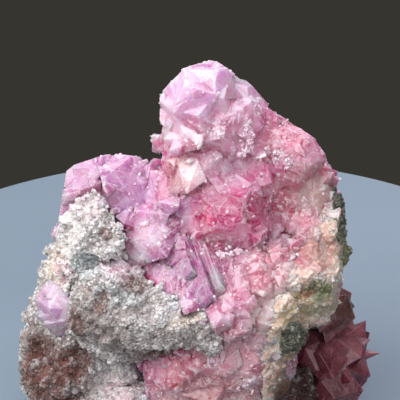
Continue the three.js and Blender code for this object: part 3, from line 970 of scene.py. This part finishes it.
pinkPaint = {  # whole facets painted white as painted reflections of the light, and ones that let the depth show
    "paintedReflection": [patch((0.415, 0.37, 0.907), (1.6, 3, 3), 0.6),
              patch((0.524, 0.404, 0.975), (1.2, 2, 1.8), 0.6),
              patch((0.545, 0.358, 0.944), (1.7, 2, 2), 0.7),
              patch((0.45, 0.32, 0.85), (3, 2.5, 1.2), 0.7),
              patch((0.46, 0.288, 0.775), (1.8, 2, 1.6), 0.45)],
    "window": [patch((0.472, 0.29, 0.819), (1.8, 2.5, 1.4)), patch((0.43, 0.306, 0.756), (1, 2, 2)),
               patch((0.433, 0.254, 0.631), (1.5, 2.5, 1.8)), patch((0.52, 0.23, 0.6), (2.5, 3, 1.6))],
}

sugaryPatches = [
    patch((0.576, 0.19, 0.557), (4, 4, 4)), patch((0.72, 0.41, 0.77), (4, 5, 3)),
    patch((0.63, 0.3, 0.8), (2, 4, 5)), patch((0.4, 0.21, 0.6), (4, 5, 3)),
    patch((0.65, 0.1, 0.46), (4, 6, 6)), patch((0.56, 0.33, 0.87), (4, 4, 2)),
]

pinkFamilies = [
    {"form": "rhomb", "count": 260, "size": (2.4, 4.6), "proud": (0.15, 0.5), "slope": (70, 79),
     "lean": 0.16, "patch": 9},
    {"form": "chip", "count": 520, "size": (1.4, 2.8), "proud": (0.1, 0.4), "lean": 0.2, "patch": 7,
     "even": 0.5},
    {"form": "tooth", "count": 40, "size": (1.4, 2.2), "slim": 1.1, "proud": (0.2, 0.6), "lean": 0.4,
     "patch": 6},
    {"form": "rhomb", "count": 600, "size": (1.2, 2.5), "proud": (0.1, 0.35), "slope": (64, 75),
     "lean": 0.25, "patch": 5, "even": 0.4},
    {"form": "chip", "count": 1050, "size": (0.6, 1.3), "proud": (0.08, 0.28), "lean": 0.25, "patch": 4,
     "even": 0.3},
    {"form": "rhomb", "count": 700, "size": (0.4, 0.9), "proud": (0.1, 0.3), "slope": (50, 66),
     "lean": 0.45, "patch": 3, "zones": sugaryPatches},
]

# flat faces of the crown and of the block
pinkCuts = [
    flatFace((0.392, 0.5, 0.87), (-1, 0, 0), (20, 7)),
    flatFace((0.398, 0.5, 0.904), (-2.2, 0.49, 1), (20, 3)),
    flatFace((0.431, 0.5, 0.944), (-1.15, 0.49, 1), (20, 6)),
    flatFace((0.4895, 0.5, 0.9826), (-0.37, 0.49, 1), (20, 6)),
    flatFace((0.5405, 0.5, 0.9917), (0.17, 0.49, 1), (20, 5)),
    flatFace((0.599, 0.5, 0.95), (0.79, 0.49, 1), (20, 7.6)),
    flatFace((0.678, 0.5, 0.8826), (1.21, 0.49, 1), (20, 6.7)),
    flatFace((0.759, 0.5, 0.8153), (0.75, 0.49, 1), (20, 7.9)),
    flatFace((0.834, 0.5, 0.739), (1.54, 0.49, 1), (20, 8)),
    flatFace((0.88, 0.42, 0.6), (1, -0.1, 0.1), (20, 16)),
    flatFace((0.455, 0.36, 0.94), (-0.25, -0.85, 0.45), (6, 7)),
    flatFace((0.4, 0.4, 0.91), (-0.7, -0.65, 0.25), (6, 8)),
    flatFace((0.545, 0.36, 0.945), (0.3, -0.85, 0.45), (6, 6)),
    flatFace((0.51, 0.41, 0.98), (0, -0.6, 0.8), (8, 5)),
    flatFace((0.185, 0.5, 0.7194), (-0.37, 0.49, 1), (16, 8)),
    flatFace((0.308, 0.5, 0.7375), (0.14, 0.49, 1), (16, 8)),
    flatFace((0.127, 0.44, 0.64), (-0.98, 0, 0.17), (16, 13)),
]

# crystals that carry the pink crust over its joins with the other pieces
joinToCream = {"count": 1900, "reach": 4.0, "size": (0.8, 2.0), "lean": 0.16, "proud": (0.1, 0.8),
               "bare": [patch((0.93, 0.45, 0.55), (4.5, 14, 12)), patch((0.78, 0.15, 0.3), (5, 9, 8)),
                        patch((0.76, 0.12, 0.43), (6.5, 8, 6)),
                        patch((0.6, 0.05, 0.22), (14, 9, 9))]}
joinToRock = {"count": 420, "reach": 1.6, "size": (0.7, 1.6), "lean": 0.35, "proud": (0.1, 0.8), "bare": []}

# rounded masses under the crust, which fill the folds below the crown and beside the rock
pinkMasses = [
    {"at": (0.485, 0.44, 0.833), "reach": (6.2, 5.8, 6.5), "facets": 34, "seed": 1},
    {"at": (0.575, 0.45, 0.84), "reach": (6.5, 6.2, 5.6), "facets": 34, "seed": 2},
    {"at": (0.72, 0.48, 0.738), "reach": (8, 6, 6.5), "facets": 34, "seed": 3},
    {"at": (0.575, 0.2, 0.29), "reach": (13, 8.2, 10), "facets": 70, "seed": 5},
    {"at": (0.6, 0.19, 0.45), "reach": (5.5, 5.6, 8), "facets": 40, "seed": 6},
    {"at": (0.335, 0.27, 0.556), "reach": (3.2, 3.4, 4.2), "facets": 24, "seed": 4},
]

bladeFans = [
    {"count": 10, "seed": 23, "from": (0.41, 0.235, 0.6), "to": (0.5, 0.19, 0.56),
     "run": (0.085, -0.15, -0.11), "width": (3.4, 5.4), "thickness": (0.4, 0.7), "length": (6, 12),
     "facing": (-0.45, -0.7, 0.5)},
    {"count": 9, "seed": 24, "from": (0.5, 0.22, 0.6), "to": (0.6, 0.13, 0.52), "run": (0.07, -0.15, -0.12),
     "width": (2.2, 3.8), "thickness": (0.5, 0.8), "length": (5, 10), "facing": (0.4, -0.6, 0.65)},
]

# single crystals that give the block, and the small pieces, their shapes
pinkSingles = [
    rhombAt((0.251, 0.47, 0.75), (0.05, -0.1, 1), 5.6, 66, 0.4),
    rhombAt((0.246, 0.4, 0.735), (0.1, -0.45, 1), 5.0, 66, 1.3),
    rhombAt((0.225, 0.36, 0.725), (-0.1, -0.5, 1), 4.4, 68, 0.6),
    rhombAt((0.33, 0.42, 0.738), (0.25, -0.3, 1), 4.0, 68, 2.2),
    rhombAt((0.622, 0.52, 0.918), (0.45, -0.3, 0.9), 5.5, 74, 0.9),
    rhombAt((0.6, 0.44, 0.91), (0.4, -0.6, 0.7), 5.0, 74, 0.3),
    rhombAt((0.33, 0.215, 0.6), (-0.3, -0.8, 0.5), 3.6, 74, 0.4),
    rhombAt((0.364, 0.2, 0.622), (-0.2, -0.7, 0.7), 4.6, 72, 1.1),
    toothAt((0.357, 0.4, 0.826), (-0.9, -0.3, 0.35), 4.4, 0.5, 0.4),
    rhombAt((0.66, 0.53, 0.885), (0.5, -0.2, 0.9), 3.2, 66, 1.9),
]
lilacSingles = [
    rhombAt((0.078, 0.25, 0.44), (-0.6, -0.4, 0.6), 3.4, 66, 0.3),
    rhombAt((0.098, 0.185, 0.405), (-0.2, -0.9, 0.3), 3.4, 68, 1.1),
    rhombAt((0.155, 0.18, 0.44), (0.4, -0.8, 0.5), 3.2, 66, 0.8),
    rhombAt((0.11, 0.22, 0.475), (-0.1, -0.5, 0.9), 3.0, 70, 2.0),
]
clusterSingles = [
    rhombAt((0.92, 0.46, 0.262), (0.4, -0.3, 0.8), 5.6, 70, 0.5),
    rhombAt((0.948, 0.45, 0.235), (0.9, -0.4, 0.5), 4.6, 72, 1.2),
    rhombAt((0.962, 0.4, 0.13), (0.9, -0.5, -0.1), 5.6, 74, 0.7),
    rhombAt((0.87, 0.4, 0.262), (-0.1, -0.5, 0.9), 5.6, 72, 1.4),
    rhombAt((0.825, 0.33, 0.24), (-0.2, -0.8, 0.6), 5.0, 72, 0.9),
    rhombAt((0.9, 0.34, 0.19), (0.4, -0.8, 0.3), 6.0, 75, 2.1),
    rhombAt((0.865, 0.275, 0.13), (0.1, -1, 0.1), 6.0, 75, 0.2),
    rhombAt((0.94, 0.41, 0.165), (0.9, -0.5, 0.1), 5.4, 75, 1.7),
    toothAt((0.825, 0.265, 0.11), (-0.3, -0.8, -0.4), 4.0, 0.8, 0.6),
    rhombAt((0.88, 0.29, 0.09), (0.3, -0.9, -0.2), 4.6, 74, 1.1),
    rhombAt((0.9, 0.43, 0.362), (0.8, -0.4, 0.5), 5.0, 72, 0.4),
    rhombAt((0.905, 0.42, 0.325), (0.9, -0.5, 0.1), 5.0, 74, 1.4),
    rhombAt((0.87, 0.36, 0.33), (0.4, -0.9, 0.1), 4.6, 74, 2.2),
    rhombAt((0.9, 0.4, 0.29), (0.7, -0.7, 0.1), 4.6, 74, 0.2),
]


# A rounded mass with flat facets, the hull of points spread over an ellipsoid
def massForm(mass):
    random = np.random.default_rng(mass["seed"])
    ways = random.normal(size=(mass["facets"], 3))
    ways /= np.linalg.norm(ways, axis=1)[:, None]
    work = bmesh.new()
    for spot in place(mass["at"]) + ways * np.array(mass["reach"]):
        work.verts.new(spot)
    bmesh.ops.convex_hull(work, input=work.verts[:])
    work.verts.index_update()
    form = np.array([vert.co.to_tuple() for vert in work.verts]), [tuple(vert.index for vert in face.verts)
                                                                   for face in work.faces]
    work.free()
    return form


def bladeCrystals(fan):
    random = np.random.default_rng(fan["seed"])
    start, end = place(fan["from"]), place(fan["to"])
    run = np.array(fan["run"]) * (boxHigh - boxLow)
    run /= np.linalg.norm(run)
    blades = []
    for k in range(fan["count"]):
        share = (k + random.random()) / fan["count"]
        root = start + (end - start) * share - run * (0.5 + 2 * random.random())
        sizes = [between(fan[part], random.random()) for part in ("length", "width", "thickness")]
        way = run + 0.05 * random.normal(size=3)
        facing = np.array(fan["facing"]) + 0.12 * random.normal(size=3)
        blades.append(bladeCrystal(root, way, facing, *sizes))
    return blades


# Larger chips where the main forms meet in deep folds, so that the crust runs on over them
creaseChips = {"count": 1500, "reach": 8.0, "from": 0.42, "size": (1.4, 2.8), "lean": 0.16,
               "proud": (0.1, 1.1)}


def fillCreases(node, others, spec, seed):
    ground = refined(cadCopy(node), 1.5, {})
    surface = treeOf(ground)
    where, normal = sampleSurface(ground, spec["count"], seed,
                                  lambda middle, out: (middle[:, 2] > 2 * lowestCrystal) + 1e-9)
    random = np.random.default_rng(seed)
    ways = random.normal(size=(16, 3))
    ways /= np.linalg.norm(ways, axis=1)[:, None]
    crystals = []
    for spot, out in zip(where, normal):
        shut = 0
        for way in ways + 1.1 * out:
            way = Vector(way).normalized()
            start = Vector(spot + 0.05 * out)
            if any(tree.ray_cast(start, way, spec["reach"])[0] for tree in (surface, others)):
                shut += 1 / len(ways)
        share = (shut - spec["from"]) / (0.85 - spec["from"])
        clear = others.ray_cast(Vector(spot + 0.05 * out), Vector(out), 1.5)[0] is None
        if share <= 0 or not clear:
            continue
        share = min(share, 1)
        size = spec["size"][0] + (spec["size"][1] - spec["size"][0]) * random.random() * share
        proud = spec["proud"][0] + (spec["proud"][1] - spec["proud"][0]) * share * random.random()
        axis = out + spec["lean"] * random.normal(size=3)
        crystals.append(chipCrystal(spot + out * proud, axis / np.linalg.norm(axis), size,
                                    2 * math.pi * random.random(), random.random()))
    return crystals


def joinChips(node, neighbour, spec, seed):
    meshes = [refined(cadCopy(name), 1.2, {}) for name in (node, neighbour)]
    random = np.random.default_rng(seed)
    crystals = []
    for ground, other in (meshes, meshes[::-1]):
        far = treeOf(other)

        def nearJoin(middle, normal, far=far):
            apart = np.array([far.find_nearest(Vector(spot))[3] for spot in middle.tolist()])
            return (apart < spec["reach"]) * (middle[:, 2] > lowestCrystal) + 1e-9

        where, normal = sampleSurface(ground, spec["count"] // 2, seed, nearJoin)
        for spot, out in zip(where, normal):
            share = 1 - far.find_nearest(Vector(spot))[3] / spec["reach"]
            if share < 0 or zoneMask(spot[None], spec["bare"], 0.5)[0] > 0.3:
                continue
            size = between(spec["size"], random.random())
            proud = spec["proud"][0] + (spec["proud"][1] - spec["proud"][0]) * share * random.random()
            axis = out + spec["lean"] * random.normal(size=3)
            crystals.append(chipCrystal(spot + out * proud, axis / np.linalg.norm(axis), size,
                                        2 * math.pi * random.random(), random.random()))
    return crystals


# The cluster's colours are far darker than the rest of the rose calcite: partly its own darker colour,
# partly painted shade for its place under the overhang
clusterLook = {
    **pinkLook, "body": "#6b2433", "white": "#b98086", "deep": "#420d1b", "pale": "#9a5a64",
    "paintedShadeBrown": "#6d4f46",
    "toneUp": 0.2, "edge": 0.3, "cellPale": 0.2, "lines": 0.25, "clear": 0.1, "glow": 0.8, "reach": 1.4,
}
# the dark brown zone at the cluster's top is painted shade from the cream rim above
clusterZones = {"pale": [patch((0.92, 0.4, 0.24), (5, 7, 3)), patch((0.97, 0.4, 0.19), (3, 5, 2.5))],
                "paintedShadeBrown": [patch((0.9, 0.4, 0.34), (6, 9, 5))]}
clusterFamilies = [
    {"form": "tooth", "count": 6, "size": (1.6, 2.6), "slim": 1.0, "proud": (0.2, 0.5), "lean": 0.4,
     "patch": 6},
    {"form": "rhomb", "count": 50, "size": (1.2, 2.6), "proud": (0.1, 0.3), "slope": (64, 74),
     "lean": 0.3, "patch": 4},
]

lilacLook = {**pinkLook, "cellDeep": 0.2, "cellPale": 0.35, "body": "#e6bade", "white": "#fff6fb",
             "deep": "#c65d9a", "lilac": "#d3a8d8", "edge": 0.6, "toneUp": 0.4}
lilacZones = {"lilac": [patch((0.1, 0.2, 0.4), (3, 4, 3))]}
lilacFamilies = [
    {"form": "rhomb", "count": 16, "size": (2.0, 3.4), "proud": (0.1, 0.4), "slope": (64, 74),
     "lean": 0.25, "patch": 6},
    {"form": "rhomb", "count": 60, "size": (0.7, 1.6), "proud": (0.1, 0.35), "slope": (54, 68),
     "lean": 0.35, "patch": 3},
]


# Rocky pieces

# A solid turned into uneven stone: fine mesh, grown a little to meet its neighbours, then roughened
def stoneMesh(node, cell, grow, relief):
    mesh = applied(cadCopy(node), "REMESH", mode="VOXEL", voxel_size=cell)
    points, _ = meshArrays(mesh)
    normals = neighbourMean(mesh, vertexNormals(mesh), 2)
    normals /= np.linalg.norm(normals, axis=1)[:, None] + 1e-9
    base = points[:, 2] < 0.35
    rise = np.full(len(points), grow)
    for step in relief:
        if step["kind"] == "cells":
            rise += step["height"] * (0.5 - cellNoise(points, step["size"], step["seed"]))
        else:
            rise += step["height"] * fractalNoise(points, step["size"], 2, step["seed"])
    rise = np.where(base, 0, rise * smoothStep(0.2, 1.4, points[:, 2]))
    points = points + normals * rise[:, None]
    points[:, 2] = np.where(base, 0, points[:, 2])
    mesh.vertices.foreach_set("co", points.ravel())
    mesh.update()
    return mesh


def keepInside(mesh):  # nothing sticks out of the specimen's own box
    points, _ = meshArrays(mesh)
    mesh.vertices.foreach_set("co", np.clip(points, boxLow, boxHigh).ravel())
    mesh.update()


def stoneMaterial(name, look, zoneNames, perGrain=False):
    material, tree, surface = newMaterial(name)
    gap, rim = shade(tree, "gap"), shade(tree, "rim")
    grain = use(tree, grainGroup, Grain=look["grain"], **{"Pale share": look["paleShare"]})
    spread = shade(tree, "rust")
    if perGrain:
        spread = times(tree, spread, ramp(tree, shade(tree, "tone"), 0.3, 0.9, 1.1, 0.5))
    rust = use(tree, stainGroup, Mask=spread, Size=1.3, Spread=0.36)["Stain"]
    white, dark = hexColour(look["white"]), hexColour(look["dark"])
    colour = hexColour(look["body"])
    for zone in zoneNames:
        if zone != "rust":
            colour = blend(tree, shade(tree, zone), colour, hexColour(look[zone]))
    tone = shade(tree, "tone") if perGrain else grain["Pale"]
    whiten = times(tree, tone, look["toneUp"])
    for zone in [zone for zone in zoneNames if zone in look["dull"]]:
        left = ramp(tree, shade(tree, zone), 0.0, 1.0, 1.0, look["dull"][zone])
        whiten = times(tree, whiten, left)
    colour = blend(tree, whiten, colour, white)
    colour = blend(tree, times(tree, grain["Speck"], look["speck"]), colour, dark)
    colour = blend(tree, times(tree, rust, look["rustAmount"]), colour, hexColour(look["rust"]))
    colour = blend(tree, ramp(tree, rim, 0.25, 0.8, 0.0, look["edge"]), colour, white)
    # Painted shade: places shut in by their neighbours are darkened towards the dark colour
    shut = ramp(tree, gap, look["paintedShadeFrom"], 0.75, 0.0, look["paintedShadeTint"])
    colour = blend(tree, shut, colour, blend(tree, 1.0, colour, dark, "MULTIPLY"))
    tree.links.new(colour, surface.inputs["Base Color"])
    rough = ramp(tree, tone, 0.0, 1.0, look["rough"][0], look["rough"][1])
    tree.links.new(rough, surface.inputs["Roughness"])
    bump = put(tree, "ShaderNodeBump",
               {"Height": grain["Height"], "Strength": look["bump"], "Distance": 0.0003})
    tree.links.new(bump.outputs["Normal"], surface.inputs["Normal"])
    letLightIn(surface, look, 1.55)
    return material


# Loose grains standing on a mesh: they take their stains, the painted shadow zones among them, and the
# painted shade of the ground from where they stand
def scatterGrains(name, ground, material, zones, others, seed, spec):
    where, normal, carried = sampleSurface(ground, spec["count"], seed, spec.get("weight"), ("gap",))
    keep = openPlaces(where, normal, others, 0.5) & (where[:, 2] > 0.5)
    where, normal, gap = where[keep], normal[keep], carried["gap"][keep]
    random = np.random.default_rng(seed + 1)
    sizes = between(spec["size"], random.random(len(where)) ** 1.6)
    mesh = grainMesh(where, normal, sizes, spec["sink"], spec["lean"], spec["stretch"], seed + 2)
    corners = 8  # of each grain
    # the ground's shut-in share, for painted shade on the grains
    writeShade(mesh, "gap", np.repeat(gap * 0.7, corners))
    writeShade(mesh, "rim", np.zeros(corners * len(where)))
    writeShade(mesh, "tone", np.repeat(random.random(len(where)), corners))
    writeZones(mesh, where, zones, 1.8, spec["zoneSeed"], corners)
    keepInside(mesh)
    return finishPiece(name, mesh, material)


rockLook = {
    "body": "#a59d9b", "white": "#eff3f4", "dark": "#3f3836", "rust": "#75483f",
    # the umber colour is a painted shadow
    "teal": "#a9c0c2", "paintedShadow": "#3c1d15", "brown": "#58352c", "snow": "#f4eeec", "blush": "#dab6c2",
    "sand": "#c8b9a4", "tan": "#8a7f7c",
    "dull": {"brown": 0.2, "tan": 0.3, "paintedShadow": 0.04},
    "grain": 0.45, "paleShare": 0.5, "toneUp": 0.75, "speck": 0.6, "rustAmount": 0.9, "edge": 0.4,
    "paintedShadeFrom": 0.14, "paintedShadeTint": 0.95, "rough": (0.75, 0.5), "bump": 0.6,
    "glow": 0.12, "radius": (1.0, 0.8, 0.7), "reach": 0.4,
}
rockZones = {
    "snow": [patch((0.3, 0.2, 0.545), (3.4, 6, 2.4), 0.9), patch((0.15, 0.27, 0.6), (4, 6, 5), 0.6),
             patch((0.2, 0.3, 0.69), (4, 7, 3), 0.9),
             patch((0.41, 0.02, 0.46), (6, 5, 2.4), 0.3), patch((0.25, 0.16, 0.205), (5, 8, 3.4), 0.6)],
    # painted shadow: dark brown on the rock beside and behind the cluster, below the cream rim
    "paintedShadow": [patch((0.78, 0.22, 0.14), (8, 10, 10)), patch((0.76, 0.2, 0.25), (5, 8, 5)),
              patch((0.9, 0.4, 0.3), (5, 10, 5), 0.7)],
    "teal": [patch((0.2, 0.22, 0.55), (3.5, 6, 3), 0.5),
             patch((0.27, 0.13, 0.48), (5, 6, 2.5), 0.5)],
    "sand": [patch((0.11, 0.25, 0.5), (3, 6, 7)), patch((0.47, 0.06, 0.44), (5, 5, 1.8), 0.8),
             patch((0.39, 0.8, 0.4), (16, 14, 12), 0.5)],
    "blush": [patch((0.28, 0.2, 0.535), (3.6, 5, 1.8)), patch((0.13, 0.22, 0.51), (2.5, 5, 2.5), 0.7),
              patch((0.19, 0.27, 0.69), (5, 6, 3), 0.4),
              patch((0.29, 0.16, 0.2), (4, 6, 4), 0.7)],
    "tan": [patch((0.22, 0.08, 0.42), (6.5, 8, 5)), patch((0.29, 0.16, 0.45), (9, 9, 4.4), 0.9),
            patch((0.42, 0.04, 0.41), (9, 7, 2.6), 0.8), patch((0.3, 0.04, 0.4), (6, 6, 3)),
            patch((0.2, 0.16, 0.22), (8, 8, 6), 0.3), patch((0.33, 0.06, 0.36), (8, 7, 2.4)),
            patch((0.05, 0.26, 0.3), (4, 7, 5)), patch((0.47, 0.04, 0.38), (7, 6, 2.5), 0.6)],
    "brown": [patch((0.08, 0.2, 0.26), (4.5, 9, 6)), patch((0.15, 0.14, 0.28), (5, 8, 4)),
              patch((0.18, 0.12, 0.41), (2.4, 5, 2.6), 0.8), patch((0.32, 0.13, 0.505), (3.6, 5, 1.7), 0.6),
              patch((0.04, 0.22, 0.2), (4, 9, 6), 0.8),
              patch((0.4, 0.05, 0.32), (9, 7, 1.8), 0.8), patch((0.13, 0.16, 0.15), (4, 8, 4)),
              patch((0.5, 0.8, 0.2), (30, 14, 12), 0.5)],
    "rust": [patch((0.26, 0.2, 0.62), (1.6, 4, 2.2)), patch((0.21, 0.25, 0.7), (1.6, 4, 1.4), 0.6),
             patch((0.32, 0.13, 0.505), (3.2, 4, 1.2), 0.8), patch((0.2, 0.19, 0.49), (1.6, 5, 2.4)),
             patch((0.237, 0.1, 0.475), (1.6, 5, 2)),
             patch((0.25, 0.17, 0.43), (2.4, 5, 4)), patch((0.1, 0.16, 0.22), (9, 12, 6)),
             patch((0.2, 0.14, 0.2), (7, 8, 5), 0.3), patch((0.07, 0.2, 0.36), (1.8, 4, 1.8)),
             patch((0.45, 0.08, 0.33), (8, 6, 2)), patch((0.4, 0.85, 0.5), (9, 8, 7), 0.7)],
}
rockRelief = [
    {"kind": "noise", "size": 6.0, "height": 1.4, "seed": 31},
    {"kind": "noise", "size": 2.4, "height": 1.5, "seed": 33},
    {"kind": "cells", "size": 1.5, "height": 0.6, "seed": 35},
    {"kind": "noise", "size": 0.9, "height": 0.7, "seed": 37},
]
rockGrains = {"count": 15000, "size": (0.2, 0.6), "sink": 0.5, "lean": 0.6, "stretch": (0.8, 1.5),
              "zoneSeed": 90}

creamLook = {
    **rockLook, "body": "#d9bcae", "white": "#fbf1ea", "dark": "#6b4a36", "rust": "#8a5a38",
    "rosy": "#b0687a", "green": "#8e9070", "brown": "#6e4c36", "sand": "#bfa888", "shadow": "#6d4038",
    "dull": {"green": 0.3, "brown": 0.2, "shadow": 0.3, "rosy": 0.25, "paintedShadow": 0.05, "sand": 0.6},
    "grain": 0.6, "paleShare": 0.5, "toneUp": 0.6, "speck": 0.15, "rustAmount": 0.6, "edge": 0.5,
    "paintedShadeFrom": 0.2, "paintedShadeTint": 0.6, "rough": (0.55, 0.3), "bump": 0.45, "glow": 0.75,
    "radius": (1.0, 0.55, 0.45),
    "reach": 1.3,
}
creamZones = {
    # painted shadow: dark brown at the foot of the cream rim
    "paintedShadow": [patch((0.74, 0.1, 0.19), (5, 8, 5))],
    "rosy": [patch((0.64, 0.2, 0.53), (6, 8, 5)), patch((0.74, 0.3, 0.57), (7, 9, 4.5)),
             patch((0.6, 0.06, 0.4), (4.5, 8, 8)), patch((0.84, 0.26, 0.55), (5, 7, 2.2), 0.7),
             patch((0.86, 0.3, 0.44), (5, 7, 1.8), 0.5)],
    "sand": [patch((0.74, 0.14, 0.3), (3, 6, 5)), patch((0.9, 0.4, 0.5), (2.5, 8, 7)),
             patch((0.83, 0.3, 0.55), (6, 8, 4), 0.35),
             patch((0.76, 0.12, 0.44), (6, 6, 4)), patch((0.7, 0.1, 0.42), (4, 5, 4), 0.7)],
    "green": [patch((0.825, 0.17, 0.48), (3.4, 4, 2), 0.85),
              patch((0.905, 0.42, 0.5), (2.2, 7, 6), 0.9),
              patch((0.83, 0.2, 0.43), (4.5, 5, 2), 0.6)],
    "brown": [patch((0.785, 0.14, 0.5), (2.4, 3.5, 1.6), 0.9),
              patch((0.88, 0.4, 0.58), (1.8, 5, 2.5), 0.8),
              patch((0.76, 0.1, 0.39), (4, 5, 2), 0.4),
              patch((0.72, 0.1, 0.26), (4, 7, 5), 0.7)],
    "shadow": [patch((0.8, 0.2, 0.34), (8, 8, 3.5))],
    "rust": [patch((0.78, 0.14, 0.49), (2.5, 4, 1.8)), patch((0.9, 0.4, 0.6), (1.5, 5, 3))],
}
creamRelief = [
    {"kind": "noise", "size": 5.0, "height": 0.7, "seed": 41},
    {"kind": "cells", "size": 2.2, "height": 0.6, "seed": 42},
    {"kind": "cells", "size": 0.9, "height": 0.3, "seed": 45},
]
creamGrains = {"count": 2600, "size": (0.2, 0.55), "sink": 0.6, "lean": 0.45, "stretch": (0.8, 1.9),
               "zoneSeed": 120,
               "weight": lambda middle, normal: 1.05 - zoneMask(middle, creamZones["rosy"], 1.8, 120)}

crustLook = {
    **rockLook, "body": "#3c3d31", "white": "#b3b6a4", "dark": "#1d1a14", "rust": "#5c3b26",
    "olive": "#6f7349",
    "toneUp": 0.45, "rustAmount": 0.5, "edge": 0.2, "glow": 0.0,
}
crustZones = {"olive": [patch((0.91, 0.42, 0.5), (3, 7, 6)), patch((0.81, 0.16, 0.485), (4, 4, 3))],
              "rust": [patch((0.9, 0.38, 0.58), (2, 5, 3))]}
edgeSpots = [patch((0.875, 0.42, 0.58), (1.6, 6, 2.6)), patch((0.865, 0.45, 0.615), (1.6, 5, 2.2))]
crustSpots = [
    patch((0.745, 0.08, 0.395), (1.8, 4, 1.6)), patch((0.73, 0.09, 0.36), (1.3, 4, 2.2)),
    patch((0.765, 0.1, 0.35), (1.2, 4, 1.6)), patch((0.775, 0.1, 0.375), (1, 4, 0.8)),
    *edgeSpots, patch((0.905, 0.42, 0.5), (1.6, 6, 4.5), 0.5),
    patch((0.825, 0.16, 0.485), (2.2, 3, 1), 0.25), patch((0.79, 0.14, 0.5), (1.8, 3, 0.8), 0.25),
    patch((0.895, 0.4, 0.4), (1.8, 5, 2), 0.5),
]
crustGrains = {"count": 2600, "size": (0.2, 0.5), "sink": 0.45, "lean": 0.7, "stretch": (0.7, 2.0),
               "zoneSeed": 140,
               "weight": lambda middle, normal: zoneMask(middle, crustSpots, 1.6, 150) + 1e-6}
edgeGrains = {**crustGrains, "count": 700,
              "weight": lambda middle, normal: zoneMask(middle, edgeSpots, 1.6, 150) + 1e-7}


# fine frosty crystals that lie on the pink crust in patches and along ridges
sugarLook = {
    **rockLook, "body": "#e8bcd2", "white": "#fff8fc", "dark": "#b06a88", "rust": "#a05a6a",
    "rosy": "#d690ae",
    "dull": {}, "toneUp": 0.9, "speck": 0.1, "rustAmount": 0.0, "edge": 0.5, "paintedShadeTint": 0.4,
    "rough": (0.4, 0.15),
    "glow": 0.1, "radius": (1.0, 0.6, 0.7), "reach": 0.2,
}
sugarZones = {"rosy": [patch((0.8, 0.4, 0.66), (9, 14, 10))], "rust": []}
sugarSpots = [
    patch((0.576, 0.19, 0.557), (1.7, 3, 1.7), 0.8), patch((0.72, 0.41, 0.77), (2.6, 5, 1.8)),
    patch((0.63, 0.37, 0.83), (1.2, 4, 2)), patch((0.68, 0.38, 0.785), (2, 4, 1)),
    patch((0.77, 0.34, 0.63), (4, 6, 2), 0.7), patch((0.4, 0.21, 0.615), (2, 4, 2), 0.7),
    patch((0.53, 0.1, 0.32), (4, 5, 1.6), 0.5), patch((0.62, 0.05, 0.26), (3, 5, 1.6), 0.5),
    patch((0.53, 0.36, 0.86), (3, 5, 1.2), 0.6),
]


def sugarWeight(middle, normal):
    drifts = smoothStep(-0.2, 0.5, fractalNoise(middle, 1.3, 2, 172))
    return zoneMask(middle, sugarSpots, 3.0, 171) ** 2 * drifts + 3e-3


sugarGrains = {"count": 2600, "size": (0.16, 0.42), "sink": 0.5, "lean": 0.5, "stretch": (0.8, 1.6),
               "zoneSeed": 170, "weight": sugarWeight}


# Putting the specimen together

pinkExtra = [blade for fan in bladeFans for blade in bladeCrystals(fan)] + pinkSingles
pinkExtra += fillCreases("pink_calcite", neighboursOf("pink_calcite"), creaseChips, 81)
pinkExtra += joinChips("pink_calcite", "cream_calcite", joinToCream, 71)
pinkExtra += joinChips("pink_calcite", "matrix", joinToRock, 72)
pinkGround = buildCrystals("pink_crystals", "pink_calcite", pinkLook, pinkFamilies,
                           seed=11, zones=pinkZones, calm=pinkCalm, paint=pinkPaint, extra=pinkExtra,
                           cuts=pinkCuts, masses=pinkMasses)
buildCrystals("dark_rose_cluster_with_painted_shade", "lower_cluster", clusterLook, clusterFamilies,
              seed=211, zones=clusterZones, extra=clusterSingles)
buildCrystals("lilac_crystal", "left_crystal", lilacLook, lilacFamilies,
              seed=311, zones=lilacZones, extra=lilacSingles)


def buildStone(name, node, look, zones, relief, cell, grow, seed):
    others = neighboursOf(node)
    mesh = stoneMesh(node, cell, grow, relief)
    points = writeForm(mesh, others, rays=12, reach=2.2)
    writeZones(mesh, points, zones, 1.8, seed)
    keepInside(mesh)
    ground = mesh.copy()
    material = stoneMaterial(name.replace("_", " "), look, list(zones))
    finishPiece(name, mesh, material, [node])
    return ground, others


# Loose grains with a material of their own
def sprinkle(name, ground, look, zones, others, seed, spec):
    material = stoneMaterial(name.replace("_", " "), look, list(zones), True)
    scatterGrains(name, ground, material, zones, others, seed, spec)


rockGround, rockOthers = buildStone("host_rock", "matrix", rockLook, rockZones, rockRelief,
                                    cell=0.41, grow=0.3, seed=90)
rockGrainMaterial = stoneMaterial("rock sugar", rockLook, list(rockZones), True)
frontToBack = place((0.5, 0.45, 0.5))[1]
for side, sign in (("front", -1), ("back", 1)):
    def weight(middle, normal, sign=sign):
        return (sign * (middle[:, 1] - frontToBack) > 0).astype(float)
    scatterGrains(f"rock_sugar_{side}", rockGround, rockGrainMaterial, rockZones,
                  rockOthers, 400 + sign, {**rockGrains, "weight": weight})

creamGround, creamOthers = buildStone("cream_rim", "cream_calcite", creamLook,
                                      creamZones, creamRelief, cell=0.34, grow=0.25, seed=120)
pinkOthers = neighboursOf("pink_calcite")
sprinkle("cream_sugar", creamGround, creamLook, creamZones, creamOthers, 500,
         creamGrains)
sprinkle("edge_crust", pinkGround, crustLook, crustZones, pinkOthers, 540, edgeGrains)
sprinkle("pink_sugar", pinkGround, sugarLook, sugarZones, pinkOthers, 560, sugarGrains)
sprinkle("dark_crust", creamGround, crustLook, crustZones, creamOthers, 520,
         crustGrains)
